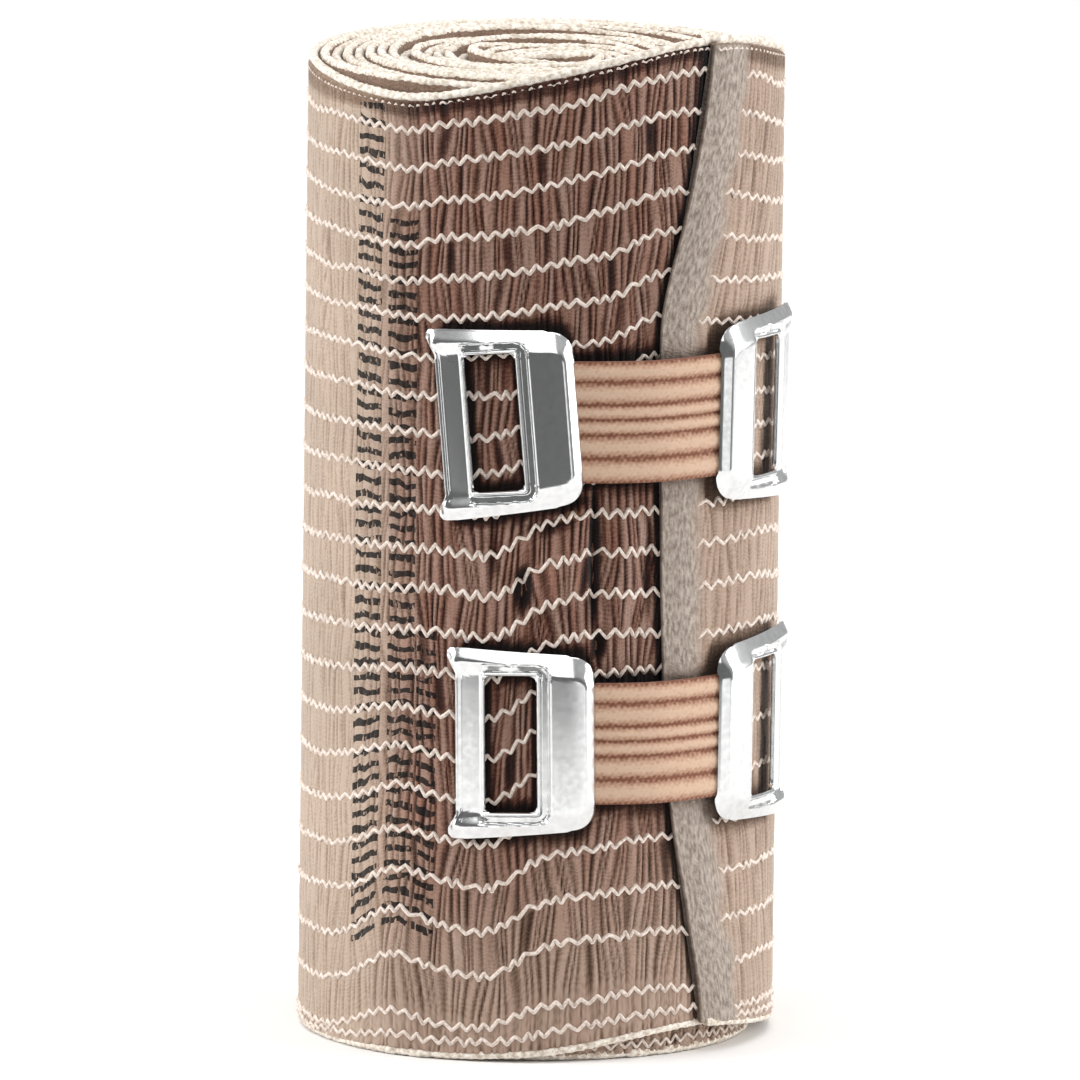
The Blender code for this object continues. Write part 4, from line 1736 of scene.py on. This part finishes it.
@dataclass
class ClipPlate:
    """A plate pressed from thin sheet, with a rimmed window and two hooked ears."""

    clip: Clip
    hooks: HookSide
    roll: Roll
    sheet: float = 0.4 * MM
    clearance: float = 0.3 * MM
    length: float = 14.0 * MM
    hook_side_height: float = 19.6 * MM
    web_side_height: float = 17.8 * MM
    corner: float = 2.4 * MM
    bend_radius: float = 40.0 * MM
    bar_length: float = 2.8 * MM
    window_length: float = 5.3 * MM
    window_height: float = 14.0 * MM
    window_corner: float = 0.7 * MM
    lip_width: float = 0.55 * MM
    groove_width: float = 0.55 * MM
    step_width: float = 0.3 * MM
    bar_rise: float = 0.15 * MM
    groove_rise: float = 0.25 * MM
    lip_rise: float = 0.58 * MM
    low_crest_rise: float = 0.6 * MM
    dome_rise: float = 1.3 * MM
    hook_rim: float = 0.55 * MM
    ear_length: float = 1.0 * MM
    ear_height: float = 2.6 * MM
    ear_drop: float = 0.3 * MM
    # The bar beside the hooks: its two beads, how soft they are, and how it rises at its ends
    hook_bead: float = 0.22 * MM
    window_bead: float = 0.12 * MM
    window_bead_width: float = 0.45 * MM
    bead_softness: float = 0.3 * MM
    bar_ends: tuple[float, float] = (0.2 * MM, 1.3 * MM)
    bar_overlap: float = 0.1 * MM
    bar_softness: float = 0.35 * MM
    # The flanks above and below the window: their least width, and how they widen to the web
    flank_width: float = 1.15 * MM
    flank_growth: float = 1.1 * MM
    flank_grows: tuple[float, float] = (3.0 * MM, 8.0 * MM)
    flank_blend: float = 0.12 * MM
    edge_rise: float = 0.05 * MM
    # The dome over the web: how steeply it falls, and the sheet's rise over the elastic
    dome_fall: float = 1.3 * MM
    dome_blend: float = 0.1 * MM
    web_half_height: float = 6.7 * MM
    web_softness: float = 0.5 * MM
    web_rise: float = 0.32 * MM
    dimple_place: tuple[float, float] = (5.4 * MM, 7.95 * MM)
    dimple_radius: float = 0.45 * MM
    dimple_rise: float = 0.3 * MM
    edge_round: float = 0.09 * MM
    rings: int = 38

    def __post_init__(self) -> None:
        """Finds which plate of its clip it is, and where it sits."""
        self.name = f"clip_{self.clip.name}_plate_{self.hooks.name.lower()}"
        self.angle, self.tilt = self.clip.plate(self.hooks)
        self.height = self.clip.height * self.roll.width

    def build(self, finish: bpy.types.Material) -> bpy.types.Object:
        """Builds, places and dresses the plate.

        Args:
            finish: The metal's material.

        Returns:
            The plate.
        """
        inner, outer = self.window_loop(), self.outline_loop()
        even = np.linspace(0.0, 1.0, self.rings)
        share = (even * (0.35 + 0.65 * even))[None, :, None]
        flat = inner[:, None, :] * (1.0 - share) + outer[:, None, :] * share
        along, up = flat[..., 0], flat[..., 1]
        rise = self.pressed_height(along, up)
        places = self.placed(along, up, rise)
        piece = shaped_grid(f"{self.name}_pressed", places, {})
        self.face_away_from_roll(piece)
        apply_modifier(piece, "SOLIDIFY", thickness=self.sheet, offset=-1.0, use_even_offset=True)
        apply_modifier(
            piece,
            "BEVEL",
            width=self.edge_round,
            segments=2,
            limit_method="ANGLE",
            angle_limit=math.radians(50.0),
        )
        shade(piece, 60.0)
        piece.data.materials.append(finish)
        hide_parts(self.name)
        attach(piece, "root")
        return piece

    def half_height(self, along: np.ndarray) -> np.ndarray:
        """Half the plate's height, without its rounded corners."""
        share = np.clip(along / self.length, 0.0, 1.0)
        whole = self.hook_side_height + (self.web_side_height - self.hook_side_height) * share
        return whole / 2.0

    def window_loop(self) -> np.ndarray:
        """The window's outline, from the middle of its hook side up and all the way round."""
        left, right = self.bar_length, self.bar_length + self.window_length
        top, radius = self.window_height / 2.0, self.window_corner
        upper = np.concatenate(
            [
                line((left, 0.0), (left, top - radius), 14),
                arc((left + radius, top - radius), radius, 180.0, 90.0, 9),
                line((left + radius, top), (right - radius, top), 22),
                arc((right - radius, top - radius), radius, 90.0, 0.0, 10),
                line((right, top - radius), (right, 0.0), 15),
            ]
        )
        return whole_loop(upper)

    def outline_loop(self) -> np.ndarray:
        """The plate's outline, with its ears, point for point beside the window's."""
        tip = float(self.half_height(np.array(0.0)))
        ear_foot = tip - self.ear_height
        end = self.length - self.corner
        top_end = float(self.half_height(np.array(end)))
        side_top = self.web_side_height / 2.0 - self.corner
        ear = np.array(EAR) * (self.ear_length, self.ear_height) + (0.0, ear_foot)
        upper = np.concatenate(
            [
                line((0.0, 0.0), (0.0, ear_foot), 14),
                ear,
                line((self.ear_length, tip - 0.0003 * MM), (end, top_end), 22),
                arc((end, side_top), self.corner, 90.0, 0.0, 10),
                line((self.length, side_top), (self.length, 0.0), 15),
            ]
        )
        return whole_loop(upper)

    def pressed_height(self, along: np.ndarray, up: np.ndarray) -> np.ndarray:
        """How far the sheet stands out from the plate's base.

        Args:
            along: Distances from the hook edge.
            up: Distances up from the plate's middle.

        Returns:
            Heights in metres.
        """
        right = self.bar_length + self.window_length
        beside = np.maximum(np.maximum(self.bar_length - along, along - right), 0.0)
        over = np.maximum(np.abs(up) - self.window_height / 2.0, 0.0)
        from_window = np.hypot(beside, over)
        crest_share = smooth(along / (self.length - self.corner))
        crest = self.low_crest_rise + (self.dome_rise - self.low_crest_rise) * crest_share
        groove_end = self.lip_width + self.groove_width
        rolled = np.cos(math.pi * np.clip(from_window / self.lip_width - 0.4, -0.5, 0.5))
        level = self.groove_rise + (self.lip_rise - self.groove_rise) * rolled
        level = level + (crest - self.groove_rise) * smooth((from_window - groove_end) / self.step_width)
        beside_window = along - self.bar_length + self.window_bead_width
        bar = self.bar_rise + self.hook_bead * smooth((self.hook_rim - along) / self.bead_softness)
        bar = bar + self.window_bead * smooth(beside_window / self.bead_softness)
        bar = bar + (crest - bar) * smooth((over - self.bar_ends[0]) / self.bar_ends[1])
        on_bar = smooth((self.bar_length + self.bar_overlap - along) / self.bar_softness)
        level = level * (1.0 - on_bar) + bar * on_bar
        widened = smooth((along - self.flank_grows[0]) / self.flank_grows[1])
        flank_width = self.flank_width + self.flank_growth * widened
        into_corner = np.maximum(along - (self.length - self.corner), 0.0)
        rounding = self.corner - np.sqrt(np.maximum(self.corner**2 - into_corner**2, 0.0))
        from_edge = np.maximum(self.half_height(along) - rounding - np.abs(up), 0.0)
        level = soft_least(level, crest * from_edge / flank_width + self.edge_rise, self.flank_blend)
        far = (self.length - along) / self.dome_fall
        over_web = smooth((self.web_half_height - np.abs(up)) / self.web_softness)
        foot = self.edge_rise + self.web_rise * over_web
        level = soft_least(level, crest * np.clip(far, 0.0, 2.0) + foot, self.dome_blend)
        dimple = np.hypot(along - self.dimple_place[0], up - self.dimple_place[1])
        level = level + self.dimple_rise * bell(dimple / self.dimple_radius)
        ear = smooth(-along / self.ear_length)
        return level * (1.0 - ear) - self.ear_drop * ear

    def placed(self, along: np.ndarray, up: np.ndarray, rise: np.ndarray) -> np.ndarray:
        """Bends the flat plate to its curve and sets it on the roll.

        Args:
            along: Distances from the hook edge.
            up: Distances up from the plate's middle.
            rise: Heights of the sheet above the plate's base.

        Returns:
            Points in metres.
        """
        across = (along - self.length / 2.0) * -self.hooks.value
        outside = self.bend_radius + self.sheet + rise
        turned = across / self.bend_radius
        flat = stack(
            outside * np.sin(turned), self.bend_radius - outside * np.cos(turned), up
        )
        back = (self.angle - self.roll.end_angle) % TURN
        radius = float(self.roll.face_radius(np.array(back))) + self.clearance
        angle = math.radians(self.angle)
        seat = Vector((radius * math.sin(angle), -radius * math.cos(angle), self.height))
        tilt = Matrix.Rotation(math.radians(self.tilt), 3, "Y")
        turn = np.array(Matrix.Rotation(angle, 3, "Z") @ tilt)
        return flat @ turn.T + np.array(seat) + self.roll.axis

    def face_away_from_roll(self, piece: bpy.types.Object) -> None:
        """Turns the sheet's faces away from the roll's axis."""
        normals = np.empty(len(piece.data.polygons) * 3)
        piece.data.polygons.foreach_get("normal", normals)
        angle = math.radians(self.angle)
        outwards = normals.reshape(-1, 3) @ np.array((math.sin(angle), -math.cos(angle), 0.0))
        if outwards.sum() < 0.0:
            with editing(piece):
                bpy.ops.mesh.select_all(action="SELECT")
                bpy.ops.mesh.flip_normals()


def line(start: tuple[float, float], stop: tuple[float, float], count: int) -> np.ndarray:
    """Points along a straight line, from its start to just before its end."""
    share = np.arange(count)[:, None] / count
    return np.array(start) * (1.0 - share) + np.array(stop) * share


def arc(
    centre: tuple[float, float], radius: float, first: float, last: float, count: int
) -> np.ndarray:
    """Points along an arc, from its first angle in degrees to just before its last."""
    angle = np.radians(first + (last - first) * np.arange(count) / count)
    return np.array(centre) + radius * stack(np.cos(angle), np.sin(angle))


def whole_loop(upper: np.ndarray) -> np.ndarray:
    """A closed loop from its upper half, mirrored, with its first point repeated at its end."""
    last = upper[-1:] * (1.0, 0.0)
    lower = upper[::-1] * (1.0, -1.0)
    return np.concatenate([upper, last, lower])


def soft_least(first: np.ndarray, second: np.ndarray, blend: float) -> np.ndarray:
    """The lesser of two heights, rounded over a blend's width where they cross."""
    share = np.clip(0.5 + 0.5 * (second - first) / blend, 0.0, 1.0)
    return second * (1.0 - share) + first * share - blend * share * (1.0 - share)


@dataclass
class ClipWeb:
    """The ribbed elastic between the two plates of a clip."""

    clip: Clip
    roll: Roll
    width: float = 12.4 * MM
    thickness: float = 1.0 * MM
    valley: float = 0.34 * MM
    clearance: float = 0.3 * MM
    tuck: float = 4.75 * MM
    plate_length: float = 14.0 * MM
    ribs: tuple[float, ...] = (0.205, 0.195, 0.125, 0.12, 0.19, 0.165)
    steps_per_rib: int = 12
    columns: int = 170
    stitch_mm: float = 0.56
    stitch_row_mm: float = 0.9
    stitch_height: float = 0.035 * MM
    # How strongly the stitches show in the furrows, and how much weaker on the crests
    stitch_shade: float = 0.22
    crest_loss: float = 0.12
    rib_power: float = 1.15
    # The share of the way from the left plate to the free end where the web begins to climb
    climb_start: float = 0.35

    def __post_init__(self) -> None:
        """Names the web after its clip."""
        self.name = f"clip_{self.clip.name}_web"

    def build(self, finish: bpy.types.Material) -> bpy.types.Object:
        """Builds and dresses the web.

        Args:
            finish: The elastic's material.

        Returns:
            The web.
        """
        roll, clip = self.roll, self.clip
        first = clip.left_angle + self.tuck_angle(clip.left_tilt)
        last = clip.right_angle - self.tuck_angle(clip.right_tilt)
        angle = np.linspace(first, last, self.columns)[:, None]
        up, depth = self.profile()
        inner = self.inner_radius(angle)
        along_mm = (angle - first) * math.radians(1.0) * roll.radius / MM
        stitches = np.sin(2.0 * math.pi * along_mm / self.stitch_mm)
        crossing = stitches * np.sin(2.0 * math.pi * up[None, :] / MM / self.stitch_row_mm)
        relief_and_shade = np.where(depth[None, :] < self.thickness, 1.0 - depth[None, :] / self.valley, 0.0)
        stitched = self.stitch_height * crossing * relief_and_shade
        radius = inner + self.thickness - depth[None, :] + stitched
        turned = np.radians(angle)
        places = stack(
            radius * np.sin(turned),
            -radius * np.cos(turned),
            clip.height * roll.width + up[None, :] * (1.0 + 0.0 * radius),
        )
        # The relief also paints shade into the elastic's colour in the rib valleys
        traits = {
            "weave": stack(along_mm, up[None, :] / MM, 0.0 * radius),
            "relief_and_shade": np.clip(
                relief_and_shade + (self.stitch_shade - self.crest_loss * relief_and_shade) * crossing, 0.0, 1.0
            ),
        }
        piece = shaped_grid(f"{self.name}_braided", places + roll.axis, traits)
        close_and_face_outwards(piece)
        shade(piece, 70.0)
        piece.data.materials.append(finish)
        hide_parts(self.name)
        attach(piece, "root")
        return piece

    def tuck_angle(self, tilt: float) -> float:
        """Degrees from a plate's middle to the end of the web under its dome."""
        slant = math.sin(math.radians(abs(tilt))) * self.width / 2.0
        inset = self.plate_length / 2.0 - self.tuck + slant + self.clearance
        return math.degrees(inset / self.roll.radius)

    def inner_radius(self, angle: np.ndarray) -> np.ndarray:
        """Radius of the web's inner side: it lies on the roll, then climbs over the free end."""
        roll = self.roll
        low = roll.face_radius(np.array((self.clip.left_angle - roll.end_angle) % TURN))
        high = roll.face_radius(np.array(0.0))
        climb_end = roll.end_angle - roll.end_bow
        climb_start = self.clip.left_angle + (climb_end - self.clip.left_angle) * self.climb_start
        climbed = smooth((angle - climb_start) / (climb_end - climb_start))
        beyond = np.maximum(roll.face_radius(angle - roll.end_angle), high)
        top = np.where(angle > climb_end, beyond, high)
        return low + (np.maximum(high, top) - low) * climbed + self.clearance

    def profile(self) -> tuple[np.ndarray, np.ndarray]:
        """The web's section, from its foot up over the ribs and back down its inner side.

        Returns:
            Heights from its middle, and depths below the ribs' crests.
        """
        up, depth = [], []
        foot = -self.width / 2.0
        for share in self.ribs:
            rib = share * self.width
            step = np.arange(self.steps_per_rib) / self.steps_per_rib
            up.append(foot + rib * step)
            depth.append(self.valley * (1.0 - np.abs(np.sin(math.pi * step)) ** self.rib_power))
            foot += rib
        half = self.width / 2.0
        up.append(np.array([half, half, half * 0.3, -half * 0.3, -half, -half]))
        deep = self.thickness
        depth.append(np.array([self.valley, deep, deep, deep, deep, self.valley]))
        return np.concatenate(up), np.concatenate(depth)


class Softbox(NamedTuple):
    """A square soft light: its place and its side in metres, and its power in watts."""

    name: str
    place: tuple[float, float, float]
    side: float
    power: float


SOFTBOXES = (
    Softbox("left", (-0.75, -0.10, 0.30), 0.55, 4.6),
    Softbox("right", (0.78, -0.02, 0.28), 0.6, 5.2),
    Softbox("low right", (0.30, -0.82, -0.09), 0.3, 0.28),
    Softbox("over", (0.0, 0.1, 2.2), 2.6, 34.0),
    Softbox("front", (-0.10, -1.30, 1.60), 1.2, 6.8),
)


@dataclass
class Studio:
    """A pale card, soft lights, and the camera at the picture's angle."""

    distance: float = 3.0
    elevation: float = 9.7
    roll_angle: float = 0.71
    pixels_per_mm: float = 9.82
    middle_pixel: tuple[float, float] = (538.0, 539.0)
    middle_height: float = 50.0 * MM
    card_front: float = 0.215
    card_back: float = 1.3
    card_half_width: float = 0.45

    def build(self, roll: Roll) -> None:
        """Builds the floor, the lights and the camera.

        Args:
            roll: The roll that the camera looks at.
        """
        self.floor()
        for box in SOFTBOXES:
            self.softbox(box)
        self.surroundings()
        self.camera(roll)

    def surroundings(self) -> None:
        """A white backdrop to the camera, and to the metal a pale room with a dark camera side."""
        world = bpy.data.worlds.new("studio")
        world.use_nodes = True
        tree = world.node_tree
        direction = add_node(tree, "ShaderNodeTexCoord").outputs["Generated"]
        facing = add_node(
            tree, "ShaderNodeVectorMath", {0: direction, 1: (0.0, -1.0, 0.0)}, operation="DOT_PRODUCT"
        ).outputs["Value"]
        dim = add_node(
            tree,
            "ShaderNodeMapRange",
            {"Value": facing, "From Min": 0.5, "From Max": 0.8, "To Min": 0.5, "To Max": 0.16},
        ).outputs["Result"]
        seen = add_node(tree, "ShaderNodeLightPath").outputs["Is Camera Ray"]
        strength = add_node(
            tree, "ShaderNodeMapRange", {"Value": seen, "To Min": dim, "To Max": 1.0}
        ).outputs["Result"]
        back = tree.nodes["Background"]
        back.inputs["Color"].default_value = (1.0, 1.0, 1.0, 1.0)
        tree.links.new(strength, back.inputs["Strength"])
        bpy.context.scene.world = world
        bpy.context.scene.view_settings.view_transform = "Standard"

    def floor(self) -> None:
        """The pale card that the roll stands on."""
        bpy.ops.object.select_all(action="DESELECT")
        bpy.ops.mesh.primitive_plane_add(size=2.0)
        card = bpy.context.active_object
        card.name = "floor"
        for corner in card.data.vertices:
            reach = self.card_back if corner.co.y > 0.0 else self.card_front
            corner.co = (corner.co.x * self.card_half_width, corner.co.y * reach, 0.0)
        card.data.materials.append(MattCard().build())

    def softbox(self, box: Softbox) -> None:
        """Adds a soft light that looks at the roll."""
        light = bpy.data.lights.new(box.name, "AREA")
        light.size = box.side
        light.energy = box.power
        made = bpy.data.objects.new(box.name, light)
        made.location = box.place
        aim = Vector((0.0, 0.0, self.middle_height)) - Vector(box.place)
        made.rotation_euler = aim.to_track_quat("-Z", "Y").to_euler()
        bpy.context.scene.collection.objects.link(made)

    def camera(self, roll: Roll) -> None:
        """The camera, aimed so that the roll's axis falls on the picture's pixel.

        Args:
            roll: The roll.
        """
        tilt = math.radians(self.elevation)
        look = Vector((0.0, math.cos(tilt), -math.sin(tilt)))
        turn = look.to_track_quat("-Z", "Y").to_matrix() @ Matrix.Rotation(
            math.radians(self.roll_angle), 3, "Z"
        )
        off_x = (IMAGE_SIDE / 2.0 - self.middle_pixel[0]) / self.pixels_per_mm * MM
        off_y = (self.middle_pixel[1] - IMAGE_SIDE / 2.0) / self.pixels_per_mm * MM
        aim = Vector(roll.axis) + Vector((0.0, 0.0, self.middle_height))
        aim = aim + turn.col[0] * off_x + turn.col[1] * off_y
        lens = bpy.data.cameras.new("camera")
        lens.sensor_width = 36.0
        frame_width = IMAGE_SIDE / self.pixels_per_mm * MM
        lens.lens = lens.sensor_width * self.distance / frame_width
        camera = bpy.data.objects.new("camera", lens)
        camera.location = aim - look * self.distance
        camera.rotation_euler = turn.to_euler()
        bpy.context.scene.collection.objects.link(camera)
        bpy.context.scene.camera = camera


def triangles(piece: bpy.types.Object) -> int:
    """How many triangles a piece has."""
    return sum(len(face.vertices) - 2 for face in piece.data.polygons)


def main() -> None:
    """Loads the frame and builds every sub-assembly."""
    logging.basicConfig(level=logging.INFO, format="%(message)s")
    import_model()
    roll = Roll()
    pieces = Bandage(roll, CrepeWeave()).build()
    metal = PressedAluminium().build()
    elastic = RibbedElastic().build()
    for clip in CLIPS:
        pieces += [ClipPlate(clip, side, roll).build(metal) for side in HookSide]
        pieces.append(ClipWeb(clip, roll).build(elastic))
    for piece in pieces:
        log.info("%s: %d triangles", piece.name, triangles(piece))
    Studio().build(roll)


if __name__ == "__main__":
    main()
